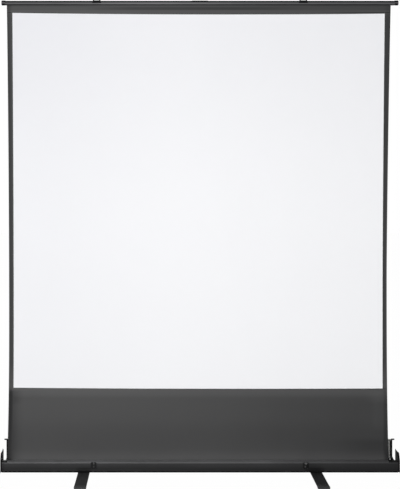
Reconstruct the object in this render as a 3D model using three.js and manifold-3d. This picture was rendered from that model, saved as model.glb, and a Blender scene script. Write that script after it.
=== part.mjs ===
// Floor-standing pull-up projection screen: an aluminium case on two swivel feet,
// a spring roller, a fabric screen and two folding arms that hold the top bar.
// Millimetres, +Z up, the viewer stands on the -Y side, origin on the floor below the case's centre.

import * as THREE from 'three';
import { mergeVertices } from 'three/addons/utils/BufferGeometryUtils.js';
import Module from 'manifold-3d';

const wasm = await Module();
wasm.setup();

// Fits that several pieces share
const fit_gap = 0.3;
const swing_gap = 0.8;
const cut_overrun = 2;
const sheet_rounding = 1;

// Case
const case_length = 1922;
const case_depth = 90;
const case_height = 52;
const case_wall = 2;
const case_corner = 4;
const case_lip_depth = 21;
const case_lip_drop = 4;
const case_rear_height = 44.5;
const pocket_rear_height = 20;
const floor_to_case = 10;

// Outer end plates
const end_plate_thickness = 3;
const end_plate_base_thickness = 8;
const end_plate_height = 86;
const end_plate_chamfer_depth = 20;
const end_plate_corner = 3;
const fin_corner = 1.5;
const end_spigot_length = 7;

// Inner end plates
const inner_plate_thickness = 5.6;
const knob_pocket_width = 20.1;
const inner_plate_front_height = 53;
const inner_plate_step_height = 55;
const inner_plate_step_depth = 42;
const inner_plate_rear_height = 66;
const inner_plate_rear_depth = 84;
const inner_plate_corner = 4;

// Roller
const roller_radius = 12.5;
const roller_wall = 1.2;
const roller_axis_depth = 38.7;
const roller_axis_height = 26;
const roller_left_gap = 1;
const roller_right_gap = 7;
const winding_gap = 0.3;
const winding_thickness = 0.7;
const plug_length = 22;
const plug_flange = 3;
const journal_radius = 4;
const shaft_length = 300;

// Torsion spring inside the roller
const spring_turns = 20;
const spring_wire_radius = 1;
const spring_pitch = 11;
const spring_offset = 30;
const spring_steps_per_turn = 8;
const spring_section_sides = 5;

// Fabric screen
const cloth_thickness = 0.7;
const surface_thickness = 0.4;
const cloth_bar_inset_left = 7.5;
const cloth_bar_inset_right = 19;
const cloth_roller_inset_left = 1.6;
const cloth_roller_inset_right = 14.1;
const cloth_waist_draw_left = 5;
const cloth_waist_draw_right = 5.9;
const cloth_waist_height = 930;
const surface_side_border = 24;
const surface_top_border = 44;
const surface_bottom_height = 407;

// Folding arms
const arm_length = 1150;
const arm_width = 22;
const arm_thickness = 4.5;
const arm_pair_gap = 0.8;
const arm_set_gap = 4;
const arm_first_depth = 60;
const arm_base_spread = 996;
const base_pivot_height = 19;
const arm_raised_angle = THREE.MathUtils.degToRad(76.9);
const base_pin_radius = 5;
const arm_pin_radius = 4;
const rivet_head_radius = 8;
const rivet_head_thickness = 1.3;

// Base brackets
const base_bracket_width = 40;
const base_bracket_thickness = 3;
const base_bracket_head_radius = 9.5;
const base_flange_depth = 16;
const base_head_radius = 8;
const base_head_thickness = 1.8;

// Top bar
const bar_height = 20;
const bar_depth = 23;
const bar_wall = 1.5;
const bar_corner = 2.5;
const bar_front_depth = 14.8;
const knob_fin_gap = 0.7;
const knob_radius = 11.5;
const knob_length = 18;
const knob_edge = 2;
const knob_spigot_radius = 8.2;
const knob_spigot_length = 14;

// Brackets that carry the top bar on the arms
const bar_bracket_width = 36;
const bar_bracket_sheet = 1.6;
const bar_bracket_front_drop = 3;
const bar_bracket_ear_width = 5.4;
const bar_bracket_ear_height = 5.5;
const bar_bracket_ear_depth = 9;
const yoke_height = 16;
const yoke_wall = 2;
const yoke_plate_thickness = 3;

// Pull handle
const handle_width = 76;
const handle_sheet = 1.2;
const handle_base_drop = 10;
const handle_lug_thickness = 3;
const handle_lug_reach = 7;
const handle_lug_height = 7;
const bail_wire_radius = 2;
const bail_drop = 22;
const bail_corner = 8;
const bail_wire_sides = 8;
const bail_steps = 30;

// Lid
const lid_sheet = 1.6;
const lid_pivot_depth = 86.5;
const lid_pivot_height = 28;
const lid_front_depth = 87.5;
const lid_channel_depth = 31.5;
const lid_height = 87;
const lid_slope_height = 20.5;
const lid_skirt = 23;
const lid_skirt_height = 51;
const lid_flange = 10;
const lid_cap_thickness = 5.6;
const lid_tab_length = 10;
const lid_tab_depth = 6;
const lid_tab_height = 6;
const lid_lug_radius = 6;
const lid_pin_radius = 3;
const lid_pin_seat = 4;
const pin_boss_radius = 5;

// Clasps on the front of the case
const left_clasp_x = -512;
const right_clasp_x = 508;
const clasp_width = 26;
const clasp_height = 28;
const clasp_plate_thickness = 1.2;
const clasp_plate_top = 46;
const clasp_lever_sheet = 1.5;
const clasp_knuckle_radius = 2.6;
const clasp_pin_radius = 1.2;
const clasp_lug_width = 3;
const clasp_hook_reach = 5;
const clasp_notch_width = 13;
const clasp_notch_height = 8;

// Swivel feet
const foot_spread = 1119;
const foot_length = 560;
const foot_width = 56;
const foot_bar_thickness = 5;
const foot_cap_wall = 1.7;
const foot_tongue_step = 3;
const foot_cap_sole = 1.9;
const foot_cap_length = 34;
const foot_cap_corner = 9;
const foot_cap_height = 9.2;
const foot_bolt_radius = 4;
const foot_bolt_head_radius = 9;
const foot_bolt_head_thickness = 1.4;
const foot_washer_radius = 20;
const foot_nut_radius = 8;
const foot_nut_height = 2.6;
const foot_nut_sides = 6;

// Fineness of round shapes
const round_sides = 24;
const small_sides = 16;
const corner_segments = 4;
const hole_segments = 8;

// Places worked out from the sizes above
const front_y = -case_depth / 2;
const rear_y = case_depth / 2;
const case_bottom = floor_to_case;
const case_floor_top = case_bottom + case_wall;
const case_top = case_bottom + case_height;
const end_face = case_length / 2;
const fin_inner_face = end_face - end_plate_thickness;
const base_inner_face = end_face - end_plate_base_thickness;
const inner_plate_face = fin_inner_face - knob_pocket_width - inner_plate_thickness;
const knob_end = fin_inner_face - knob_fin_gap;
const knob_start = knob_end - knob_length;
const bar_half_length = knob_start - fit_gap;
const roller_y = front_y + roller_axis_depth;
const roller_z = case_bottom + roller_axis_height;
const roller_left_end = inner_plate_face - roller_left_gap - plug_flange - fit_gap;
const roller_right_end = inner_plate_face - roller_right_gap - plug_flange - fit_gap;
const winding_inner_radius = roller_radius + winding_gap;
const winding_radius = winding_inner_radius + winding_thickness;
const cloth_back_y = roller_y - winding_radius - fit_gap;
const cloth_front_y = cloth_back_y - cloth_thickness;
const cloth_top_left = bar_half_length - cloth_bar_inset_left;
const cloth_top_right = bar_half_length - cloth_bar_inset_right;
const cloth_bottom_left = roller_left_end - cloth_roller_inset_left;
const cloth_bottom_right = roller_right_end - cloth_roller_inset_right;
const cloth_waist_left = cloth_bottom_left - cloth_waist_draw_left;
const cloth_waist_right = cloth_bottom_right - cloth_waist_draw_right;
const surface_back_y = cloth_front_y - fit_gap;
const arm_half = arm_width / 2;
const base_pivot_z = case_bottom + base_pivot_height;
const base_pivot_x = arm_base_spread / 2;
const elbow_x = base_pivot_x - arm_length * Math.cos(arm_raised_angle);
const elbow_z = base_pivot_z + arm_length * Math.sin(arm_raised_angle);
const bar_center_z = base_pivot_z + 2 * arm_length * Math.sin(arm_raised_angle);
const bar_bottom_z = bar_center_z - bar_height / 2;
const bar_top_z = bar_center_z + bar_height / 2;
const bar_front_y = front_y + bar_front_depth;
const bar_rear_y = bar_front_y + bar_depth;
const bar_center_y = bar_front_y + bar_depth / 2;
const cloth_top_z = bar_bottom_z - fit_gap;
const arm_pitch = arm_thickness + arm_pair_gap;
const left_lower_y = front_y + arm_first_depth;
const left_upper_y = left_lower_y + arm_pitch;
const right_lower_y = left_upper_y + arm_thickness + arm_set_gap;
const right_upper_y = right_lower_y + arm_pitch;

// Finishes
function finish(name, color, roughness, metalness) {
  return new THREE.MeshStandardMaterial({ name, color, roughness, metalness });
}

const black_aluminium = () => finish('black_aluminium', 0x38383a, 0.45, 0.6);
const satin_aluminium = () => finish('satin_aluminium', 0x9a9c9b, 0.4, 0.9);
const black_plastic = () => finish('black_plastic', 0x141415, 0.55, 0);
const black_steel = () => finish('black_steel', 0x1d1d1f, 0.5, 0.5);
const zinc_steel = () => finish('zinc_steel', 0xa8a9ab, 0.35, 0.9);
const black_cloth = () => finish('black_cloth', 0x4b4b4b, 0.9, 0);
const white_cloth = () => finish('white_cloth', 0xecedf1, 0.85, 0);

const screen = new THREE.Group();

function piece(name, geometry, material, position = [0, 0, 0], turn_y = 0) {
  const mesh = new THREE.Mesh(geometry, material);
  mesh.name = name;
  mesh.position.set(...position);
  mesh.rotation.y = turn_y;
  screen.add(mesh);
  return mesh;
}

// Flat outlines
function outline(points) {
  return new THREE.Shape(points.map(([u, v]) => new THREE.Vector2(u, v)));
}

function disc(radius, u = 0, v = 0) {
  const shape = new THREE.Shape();
  shape.absarc(u, v, radius, 0, 2 * Math.PI, false);
  return shape;
}

function rounded_rectangle(u0, v0, u1, v1, radius) {
  const shape = new THREE.Shape();
  shape.absarc(u1 - radius, v0 + radius, radius, -Math.PI / 2, 0, false);
  shape.absarc(u1 - radius, v1 - radius, radius, 0, Math.PI / 2, false);
  shape.absarc(u0 + radius, v1 - radius, radius, Math.PI / 2, Math.PI, false);
  shape.absarc(u0 + radius, v0 + radius, radius, Math.PI, 1.5 * Math.PI, false);
  return shape;
}

// An outline whose every corner is rounded to the same radius by a short curve
function softened(points, radius) {
  const corners = points.map(([u, v]) => new THREE.Vector2(u, v));
  const shape = new THREE.Shape();
  corners.forEach((corner, index) => {
    const before = corners[(index + corners.length - 1) % corners.length];
    const after = corners[(index + 1) % corners.length];
    const reach_in = Math.min(radius, corner.distanceTo(before) / 2);
    const reach_out = Math.min(radius, corner.distanceTo(after) / 2);
    const start = corner.clone().add(before.clone().sub(corner).setLength(reach_in));
    const end = corner.clone().add(after.clone().sub(corner).setLength(reach_out));
    if (index === 0) shape.moveTo(start.x, start.y);
    else shape.lineTo(start.x, start.y);
    shape.quadraticCurveTo(corner.x, corner.y, end.x, end.y);
  });
  return shape;
}

// A bent sheet: the line through the points, given a thickness on its left-hand side
function bent_sheet(points, thickness) {
  const line = points.map(([u, v]) => new THREE.Vector2(u, v));
  const side = (from, to) => {
    const along = to.clone().sub(from).normalize();
    return new THREE.Vector2(-along.y, along.x);
  };
  const inner = line.map((point, index) => {
    const first = index === 0 ? side(line[0], line[1]) : side(line[index - 1], point);
    const last = index === line.length - 1 ? first : side(point, line[index + 1]);
    const middle = first.clone().add(last).normalize();
    return point.clone().add(middle.multiplyScalar(thickness / middle.dot(first)));
  });
  return new THREE.Shape([...line, ...inner.reverse()]);
}

// Outlines pulled out along one axis
const axis_x = new THREE.Vector3(1, 0, 0);
const axis_y = new THREE.Vector3(0, 1, 0);
const axis_z = new THREE.Vector3(0, 0, 1);

function extruded(shape, length, segments = corner_segments) {
  return new THREE.ExtrudeGeometry(shape, {
    depth: length, bevelEnabled: false, steps: 1, curveSegments: segments,
  });
}

// Outline in Y and Z, from x0 to x1
function along_x(shape, x0, x1, segments) {
  const turn = new THREE.Matrix4().makeBasis(axis_y, axis_z, axis_x);
  return extruded(shape, x1 - x0, segments).applyMatrix4(turn).translate(x0, 0, 0);
}

// Outline in X and Z, from y0 to y1
function along_y(shape, y0, y1, segments) {
  const turn = new THREE.Matrix4().makeBasis(axis_x, axis_z, axis_y.clone().negate());
  return extruded(shape, y1 - y0, segments).applyMatrix4(turn).translate(0, y1, 0);
}

// Outline in X and Y, from z0 to z1
function along_z(shape, z0, z1, segments) {
  return extruded(shape, z1 - z0, segments).translate(0, 0, z0);
}

// Bodies turned about the Y axis, from (radius, place) pairs in rising order of place
function turned(profile, sides = round_sides) {
  return new THREE.LatheGeometry(profile.map(([r, h]) => new THREE.Vector2(r, h)), sides);
}

function turned_along_x(profile, sides = round_sides) {
  return turned(profile, sides).rotateZ(-Math.PI / 2);
}

function turned_along_z(profile, sides = round_sides) {
  return turned(profile, sides).rotateX(Math.PI / 2);
}

// Joining and cutting: shapes are geometries, or bodies that are already joined
function solid(shape) {
  if (shape instanceof wasm.Manifold) return shape;
  const bare = shape.index ? shape.toNonIndexed() : shape.clone();
  bare.deleteAttribute('normal');
  bare.deleteAttribute('uv');
  const merged = mergeVertices(bare);
  return new wasm.Manifold(new wasm.Mesh({
    numProp: 3,
    vertProperties: new Float32Array(merged.attributes.position.array),
    triVerts: new Uint32Array(merged.index.array),
  }));
}

function geometry_of(body) {
  const mesh = body.getMesh();
  const geometry = new THREE.BufferGeometry();
  geometry.setAttribute('position', new THREE.BufferAttribute(mesh.vertProperties, 3));
  geometry.setIndex(new THREE.BufferAttribute(mesh.triVerts, 1));
  geometry.computeVertexNormals();
  return geometry;
}

function joined(...shapes) {
  return shapes.map(solid).reduce((whole, part) => whole.add(part));
}

function cut(shape, ...tools) {
  return geometry_of(tools.map(solid).reduce((rest, tool) => rest.subtract(tool), solid(shape)));
}

function mirrored(geometry) {
  const other = geometry.index ? geometry.toNonIndexed() : geometry.clone();
  other.scale(-1, 1, 1);
  const places = other.attributes.position;
  for (let corner = 0; corner < places.count; corner += 3) {
    const a = new THREE.Vector3().fromBufferAttribute(places, corner);
    const b = new THREE.Vector3().fromBufferAttribute(places, corner + 1);
    places.setXYZ(corner, b.x, b.y, b.z);
    places.setXYZ(corner + 1, a.x, a.y, a.z);
  }
  return other;
}

// A shape modelled for the right-hand end, and its mirror image for the left-hand end
function for_both_ends(name, geometry, material) {
  piece(`right_${name}`, geometry, material());
  piece(`left_${name}`, mirrored(geometry), material());
}

const sides = [{ name: 'left', sign: -1 }, { name: 'right', sign: 1 }];

// Case: one extrusion with a rounded front, a lip over the roller and a low rear wall
function case_body() {
  const inner_front = front_y + case_wall;
  const inner_rear = rear_y - case_wall;
  const rear_top = case_bottom + case_rear_height;
  const lip_edge = front_y + case_lip_depth;
  const lip_under = case_top - case_wall;
  const section = new THREE.Shape();
  section.moveTo(rear_y, case_bottom);
  section.lineTo(rear_y, rear_top);
  section.lineTo(inner_rear, rear_top);
  section.lineTo(inner_rear, case_floor_top);
  section.lineTo(inner_front, case_floor_top);
  section.lineTo(inner_front, lip_under);
  section.lineTo(lip_edge - case_wall, lip_under);
  section.lineTo(lip_edge - case_wall, lip_under - case_lip_drop);
  section.lineTo(lip_edge, lip_under - case_lip_drop);
  section.lineTo(lip_edge, case_top);
  section.lineTo(front_y + case_corner, case_top);
  section.absarc(front_y + case_corner, case_top - case_corner, case_corner,
    Math.PI / 2, Math.PI, false);
  section.lineTo(front_y, case_bottom + case_wall);
  section.absarc(front_y + case_wall, case_bottom + case_wall, case_wall,
    Math.PI, 1.5 * Math.PI, false);
  const half = base_inner_face - fit_gap;
  const pocket_start = inner_plate_face - fit_gap;
  const tray = along_x(section, -half, half);
  const cuts = sides.flatMap(({ sign }) => {
    const x0 = sign > 0 ? pocket_start : -half - cut_overrun;
    const x1 = sign > 0 ? half + cut_overrun : -pocket_start;
    const notch = along_x(outline([
      [inner_rear - fit_gap, case_bottom + pocket_rear_height],
      [rear_y + cut_overrun, case_bottom + pocket_rear_height],
      [rear_y + cut_overrun, case_top],
      [inner_rear - fit_gap, case_top],
    ]), x0, x1);
    const bolt_hole = along_z(disc(foot_bolt_radius + fit_gap, sign * foot_spread / 2, 0),
      case_bottom - cut_overrun, case_floor_top + cut_overrun, hole_segments);
    return [notch, bolt_hole];
  });
  return cut(tray, ...cuts);
}

piece('case_body', case_body(), black_aluminium());

// Outer end plates: a thick base that closes the case and a thin fin beside the lid
function end_plate() {
  const top = case_bottom + end_plate_height;
  const fin = along_x(softened([
    [front_y, case_bottom],
    [rear_y, case_bottom],
    [rear_y, top],
    [front_y + end_plate_chamfer_depth, top],
    [front_y, case_top],
  ], fin_corner), fin_inner_face, end_face);
  const base = along_x(softened([
    [front_y, case_bottom],
    [rear_y, case_bottom],
    [rear_y, case_bottom + pocket_rear_height],
    [front_y + case_corner, case_top],
    [front_y, case_top - case_corner],
  ], end_plate_corner), base_inner_face, end_face - end_plate_thickness / 2);
  const inset = case_wall + fit_gap;
  const spigot = along_x(softened([
    [front_y + inset, case_bottom + inset],
    [rear_y - inset, case_bottom + inset],
    [rear_y - inset, case_bottom + pocket_rear_height - case_wall],
    [front_y + inset, case_bottom + pocket_rear_height - case_wall],
  ], end_plate_corner), base_inner_face - end_spigot_length, end_face - end_plate_thickness);
  const pin_y = front_y + lid_pivot_depth;
  const pin_z = case_bottom + lid_pivot_height;
  const boss_start = inner_plate_face + inner_plate_thickness + fit_gap
    + lid_cap_thickness + fit_gap;
  const boss = along_x(disc(pin_boss_radius, pin_y, pin_z), boss_start,
    end_face - end_plate_thickness / 2, hole_segments);
  const bore = along_x(disc(lid_pin_radius + fit_gap, pin_y, pin_z),
    boss_start - cut_overrun, end_face - end_plate_thickness, hole_segments);
  return cut(joined(fin, base, spigot, boss), bore);
}

for_both_ends('end_plate', end_plate(), black_plastic);

// Inner end plates: stand in the case and carry the roller; their top edge rises to the rear
function inner_plate() {
  const inset = case_wall + fit_gap;
  const under_lip = case_top - case_wall - case_lip_drop - fit_gap;
  const behind_lip = front_y + case_lip_depth + fit_gap;
  const rear = front_y + inner_plate_rear_depth;
  const x0 = inner_plate_face;
  const x1 = inner_plate_face + inner_plate_thickness;
  const body = along_x(softened([
    [front_y + inset, case_bottom + inset],
    [rear, case_bottom + inset],
    [rear, case_bottom + inner_plate_rear_height],
    [front_y + inner_plate_step_depth, case_bottom + inner_plate_step_height],
    [front_y + inset, case_bottom + inner_plate_front_height],
  ], inner_plate_corner), x0, x1);
  const lip_space = along_x(outline([
    [front_y - cut_overrun, under_lip],
    [behind_lip, under_lip],
    [behind_lip, case_bottom + inner_plate_rear_height],
    [front_y - cut_overrun, case_bottom + inner_plate_rear_height],
  ]), x0 - cut_overrun, x1 + cut_overrun);
  const bore = along_x(disc(journal_radius + fit_gap, roller_y, roller_z),
    x0 - cut_overrun, x1 + cut_overrun, hole_segments);
  return cut(body, lip_space, bore);
}

for_both_ends('inner_plate', inner_plate(), black_plastic);

// Roller: a tube with a plug in each end, turning on a journal at the left
// and on a fixed shaft with the torsion spring at the right
function sleeve(inner_radius, outer_radius, x0, x1) {
  return turned_along_x([
    [inner_radius, x0], [outer_radius, x0], [outer_radius, x1], [inner_radius, x1],
    [inner_radius, x0],
  ]);
}

const roller_bore = roller_radius - roller_wall;
const spring_coil_radius = journal_radius + fit_gap + spring_wire_radius;
const plug_radius = roller_bore - fit_gap;
const roller_place = [0, roller_y, roller_z];
const journal_end = inner_plate_face + inner_plate_thickness;

piece('roller_tube', sleeve(roller_bore, roller_radius, -roller_left_end, roller_right_end),
  satin_aluminium(), roller_place);
piece('cloth_winding', sleeve(winding_inner_radius, winding_radius,
  -cloth_bottom_left, cloth_bottom_right), black_cloth(), roller_place);

const left_plug_inner = -roller_left_end + plug_length;
const left_flange_end = -roller_left_end - fit_gap - plug_flange;
piece('roller_left_plug', turned_along_x([
  [0, -journal_end], [journal_radius, -journal_end], [journal_radius, left_flange_end],
  [roller_radius, left_flange_end], [roller_radius, left_flange_end + plug_flange],
  [plug_radius, left_flange_end + plug_flange], [plug_radius, left_plug_inner],
  [0, left_plug_inner],
]), black_plastic(), roller_place);

const right_plug_inner = roller_right_end - plug_length;
const right_flange_start = roller_right_end + fit_gap;
const plug_bore = journal_radius + fit_gap;
piece('roller_right_plug', turned_along_x([
  [plug_bore, right_plug_inner], [plug_radius, right_plug_inner],
  [plug_radius, right_flange_start], [roller_radius, right_flange_start],
  [roller_radius, right_flange_start + plug_flange],
  [plug_bore, right_flange_start + plug_flange], [plug_bore, right_plug_inner],
]), black_plastic(), roller_place);

const shaft_start = journal_end - shaft_length;
piece('spring_shaft', turned_along_x([
  [0, shaft_start], [journal_radius, shaft_start], [journal_radius, journal_end], [0, journal_end],
], small_sides), zinc_steel(), roller_place);

// The torsion spring is one wire wound on a helix round the shaft
class Helix extends THREE.Curve {
  constructor(start) {
    super();
    this.start = start;
  }

  getPoint(share) {
    const angle = 2 * Math.PI * spring_turns * share;
    return new THREE.Vector3(this.start + spring_pitch * spring_turns * share,
      spring_coil_radius * Math.cos(angle), spring_coil_radius * Math.sin(angle));
  }
}

function wire(curve, radius, steps, section_sides) {
  const section = new THREE.Shape(Array.from({ length: section_sides }, (_, index) => {
    const angle = 2 * Math.PI * index / section_sides;
    return new THREE.Vector2(radius * Math.cos(angle), radius * Math.sin(angle));
  }));
  return new THREE.ExtrudeGeometry(section, { extrudePath: curve, steps, bevelEnabled: false });
}

const spring_curve = new Helix(shaft_start + spring_offset);
piece('roller_spring', wire(spring_curve, spring_wire_radius,
  spring_turns * spring_steps_per_turn, spring_section_sides), zinc_steel(), roller_place);
const spring_points = spring_curve.getPoints(spring_turns * spring_steps_per_turn);
const next_turn_distances = spring_points.slice(spring_steps_per_turn)
  .map((point, index) => point.distanceTo(spring_points[index]));
console.log('least gap between spring turns, mm:',
  (Math.min(...next_turn_distances) - 2 * spring_wire_radius).toFixed(2));

// Fabric: black screen cloth from the roller to the bar, waisted by its tension
function cloth_edge(sign, top, waist, bottom, z) {
  const above = z > cloth_waist_height;
  const far = above ? top : bottom;
  const span = above ? cloth_top_z - cloth_waist_height : cloth_waist_height - roller_z;
  const share = (z - cloth_waist_height) / span;
  return sign * (waist + (far - waist) * share * share);
}

const cloth_steps = 12;

function cloth_outline(z0, z1, border) {
  const heights = Array.from({ length: cloth_steps + 1 },
    (_, index) => z0 + (z1 - z0) * index / cloth_steps);
  const right_edge = heights.map((z) => [
    cloth_edge(1, cloth_top_right, cloth_waist_right, cloth_bottom_right, z) - border, z,
  ]);
  const left_edge = heights.map((z) => [
    cloth_edge(-1, cloth_top_left, cloth_waist_left, cloth_bottom_left, z) + border, z,
  ]);
  return outline([...right_edge, ...left_edge.reverse()]);
}

piece('screen_cloth', along_y(cloth_outline(roller_z, cloth_top_z, 0),
  cloth_front_y, cloth_back_y), black_cloth());
piece('screen_surface', along_y(
  cloth_outline(surface_bottom_height, cloth_top_z - surface_top_border, surface_side_border),
  surface_back_y - surface_thickness, surface_back_y), white_cloth());

// Base brackets: angle plates on the case floor, each in front of its lower arm
function base_bracket(x, arm_y) {
  const plate_rear = arm_y - swing_gap / 2;
  const plate_front = plate_rear - base_bracket_thickness;
  const floor = case_floor_top + fit_gap;
  const half = base_bracket_width / 2;
  const upright = new THREE.Shape();
  upright.moveTo(x - half, floor);
  upright.lineTo(x + half, floor);
  upright.lineTo(x + base_bracket_head_radius, base_pivot_z);
  upright.absarc(x, base_pivot_z, base_bracket_head_radius, 0, Math.PI, false);
  const bore = along_y(disc(base_pin_radius + fit_gap, x, base_pivot_z),
    plate_front - cut_overrun, plate_rear + cut_overrun, hole_segments);
  const flange = along_z(rounded_rectangle(x - half, plate_front - base_flange_depth,
    x + half, plate_rear, sheet_rounding), floor, floor + base_bracket_thickness);
  return cut(joined(along_y(upright, plate_front, plate_rear), flange), bore);
}

function pin(radius, shank_start, shank_end, head_radius, head_thickness) {
  return turned([
    [0, shank_start - head_thickness], [head_radius, shank_start - head_thickness],
    [head_radius, shank_start], [radius, shank_start], [radius, shank_end],
    [head_radius, shank_end], [head_radius, shank_end + head_thickness],
    [0, shank_end + head_thickness],
  ], small_sides);
}

// Arms: flat links with a round end at each pivot
function link(bore_radii) {
  const shape = new THREE.Shape();
  shape.absarc(0, 0, arm_half, Math.PI / 2, 1.5 * Math.PI, false);
  shape.absarc(arm_length, 0, arm_half, -Math.PI / 2, Math.PI / 2, false);
  shape.holes = bore_radii.map((radius, index) =>
    new THREE.Path().absarc(index * arm_length, 0, radius, 0, 2 * Math.PI, true));
  return along_y(shape, 0, arm_thickness, hole_segments);
}

const arm_sets = [
  { name: 'left', sign: -1, lower_y: left_lower_y, upper_y: left_upper_y },
  { name: 'right', sign: 1, lower_y: right_lower_y, upper_y: right_upper_y },
];

const pin_bore = arm_pin_radius + fit_gap;
const base_bore = base_pin_radius + fit_gap;
const head_seat = fit_gap;

for (const { name, sign, lower_y, upper_y } of arm_sets) {
  const x = sign * base_pivot_x;
  const lower_turn = sign < 0 ? -arm_raised_angle : arm_raised_angle - Math.PI;
  const upper_turn = sign < 0 ? arm_raised_angle - Math.PI : -arm_raised_angle;
  piece(`${name}_lower_arm`, link([base_bore, pin_bore]), black_steel(),
    [x, lower_y, base_pivot_z], lower_turn);
  piece(`${name}_upper_arm`, link([pin_bore, pin_bore]), black_steel(),
    [sign * elbow_x, upper_y, elbow_z], upper_turn);
  piece(`${name}_base_bracket`, base_bracket(x, lower_y), black_steel());
  piece(`${name}_base_pin`, pin(base_pin_radius,
    -swing_gap / 2 - base_bracket_thickness - head_seat, arm_thickness + head_seat,
    base_head_radius, base_head_thickness), zinc_steel(), [x, lower_y, base_pivot_z]);
  piece(`${name}_elbow_pin`, pin(arm_pin_radius, -head_seat,
    arm_pitch + arm_thickness + head_seat, rivet_head_radius, rivet_head_thickness),
  zinc_steel(), [sign * elbow_x, lower_y, elbow_z]);
}

// Top bar: a rounded tube with a turned knob in each end
function top_bar() {
  const section = rounded_rectangle(bar_front_y, bar_bottom_z, bar_rear_y, bar_top_z, bar_corner);
  section.holes = [rounded_rectangle(bar_front_y + bar_wall, bar_bottom_z + bar_wall,
    bar_rear_y - bar_wall, bar_top_z - bar_wall, bar_corner - bar_wall)];
  return along_x(section, -bar_half_length, bar_half_length);
}

piece('top_bar', top_bar(), black_aluminium());

const knob = turned_along_x([
  [0, bar_half_length - knob_spigot_length],
  [knob_spigot_radius, bar_half_length - knob_spigot_length],
  [knob_spigot_radius, knob_start], [knob_radius - knob_edge / 2, knob_start],
  [knob_radius, knob_start + knob_edge], [knob_radius, knob_end - knob_edge],
  [knob_radius - knob_edge, knob_end], [0, knob_end],
]).translate(0, bar_center_y, bar_center_z);
for_both_ends('bar_knob', knob, black_plastic);

// Bar brackets: a saddle with two upturned ears over the bar,
// and a yoke that reaches back to the upper arm's pivot
function bar_bracket(x, arm_y) {
  const half = bar_bracket_width / 2;
  const saddle_under = bar_top_z + fit_gap;
  const saddle_top = saddle_under + bar_bracket_sheet;
  const front_inner = bar_front_y - fit_gap;
  const rear_inner = bar_rear_y + fit_gap;
  const yoke_bottom = bar_center_z - yoke_height / 2;
  const saddle = along_x(bent_sheet([
    [rear_inner, yoke_bottom],
    [rear_inner, saddle_under],
    [front_inner, saddle_under],
    [front_inner, saddle_under - bar_bracket_front_drop],
  ].reverse(), bar_bracket_sheet), x - half, x + half);
  const plate_rear = arm_y - swing_gap / 2;
  const plate_front = plate_rear - yoke_plate_thickness;
  const yoke_plan = outline([
    [x - half, rear_inner], [x + half, rear_inner], [x + half, plate_rear],
    [x - half, plate_rear],
  ]);
  yoke_plan.holes = [outline([
    [x - half + yoke_wall, rear_inner + bar_bracket_sheet],
    [x + half - yoke_wall, rear_inner + bar_bracket_sheet],
    [x + half - yoke_wall, plate_front],
    [x - half + yoke_wall, plate_front],
  ])];
  const yoke = along_z(yoke_plan, yoke_bottom, yoke_bottom + yoke_height);
  const ears = [x - half, x + half - bar_bracket_ear_width].map((ear_x) =>
    along_x(softened([
      [front_inner, saddle_under],
      [front_inner + bar_bracket_ear_depth, saddle_under],
      [front_inner + bar_bracket_ear_depth / 2, saddle_top + bar_bracket_ear_height],
      [front_inner, saddle_top + bar_bracket_ear_height],
    ], sheet_rounding), ear_x, ear_x + bar_bracket_ear_width));
  const bore = along_y(disc(pin_bore, x, bar_center_z), plate_front - fit_gap,
    plate_rear + cut_overrun, hole_segments);
  return cut(joined(saddle, yoke, ...ears), bore);
}

for (const { name, sign, upper_y } of arm_sets) {
  const x = sign * base_pivot_x;
  piece(`${name}_bar_bracket`, bar_bracket(x, upper_y), black_steel());
  piece(`${name}_top_pin`, pin(arm_pin_radius,
    -swing_gap / 2 - yoke_plate_thickness - head_seat, arm_thickness + head_seat,
    rivet_head_radius - sheet_rounding, rivet_head_thickness), zinc_steel(),
  [x, upper_y, bar_center_z]);
}

// Pull handle: a plate over the bar with two lugs behind it, and a wire bail hanging from them
const bail_pivot_y = bar_rear_y + fit_gap + handle_sheet + handle_lug_reach - handle_lug_height / 2;
const bail_pivot_z = bar_top_z - handle_lug_height / 2;
const bail_half = handle_width / 2 - handle_lug_thickness / 2;

function handle_base() {
  const half = handle_width / 2;
  const plate = along_x(bent_sheet([
    [bar_rear_y + fit_gap, bar_top_z - handle_base_drop],
    [bar_rear_y + fit_gap, bar_top_z + fit_gap],
    [bar_front_y + bar_corner, bar_top_z + fit_gap],
  ].reverse(), handle_sheet), -half, half);
  const lugs = [-half, half - handle_lug_thickness].map((lug_x) => along_x(softened([
    [bar_rear_y + fit_gap, bail_pivot_z - handle_lug_height / 2],
    [bail_pivot_y + handle_lug_height / 2, bail_pivot_z - handle_lug_height / 2],
    [bail_pivot_y + handle_lug_height / 2, bail_pivot_z + handle_lug_height / 2],
    [bar_rear_y + fit_gap, bail_pivot_z + handle_lug_height / 2],
  ], sheet_rounding), lug_x, lug_x + handle_lug_thickness));
  const bore = along_x(disc(bail_wire_radius + fit_gap, bail_pivot_y, bail_pivot_z),
    -half - cut_overrun, half + cut_overrun, hole_segments);
  return cut(joined(plate, ...lugs), bore);
}

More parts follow.
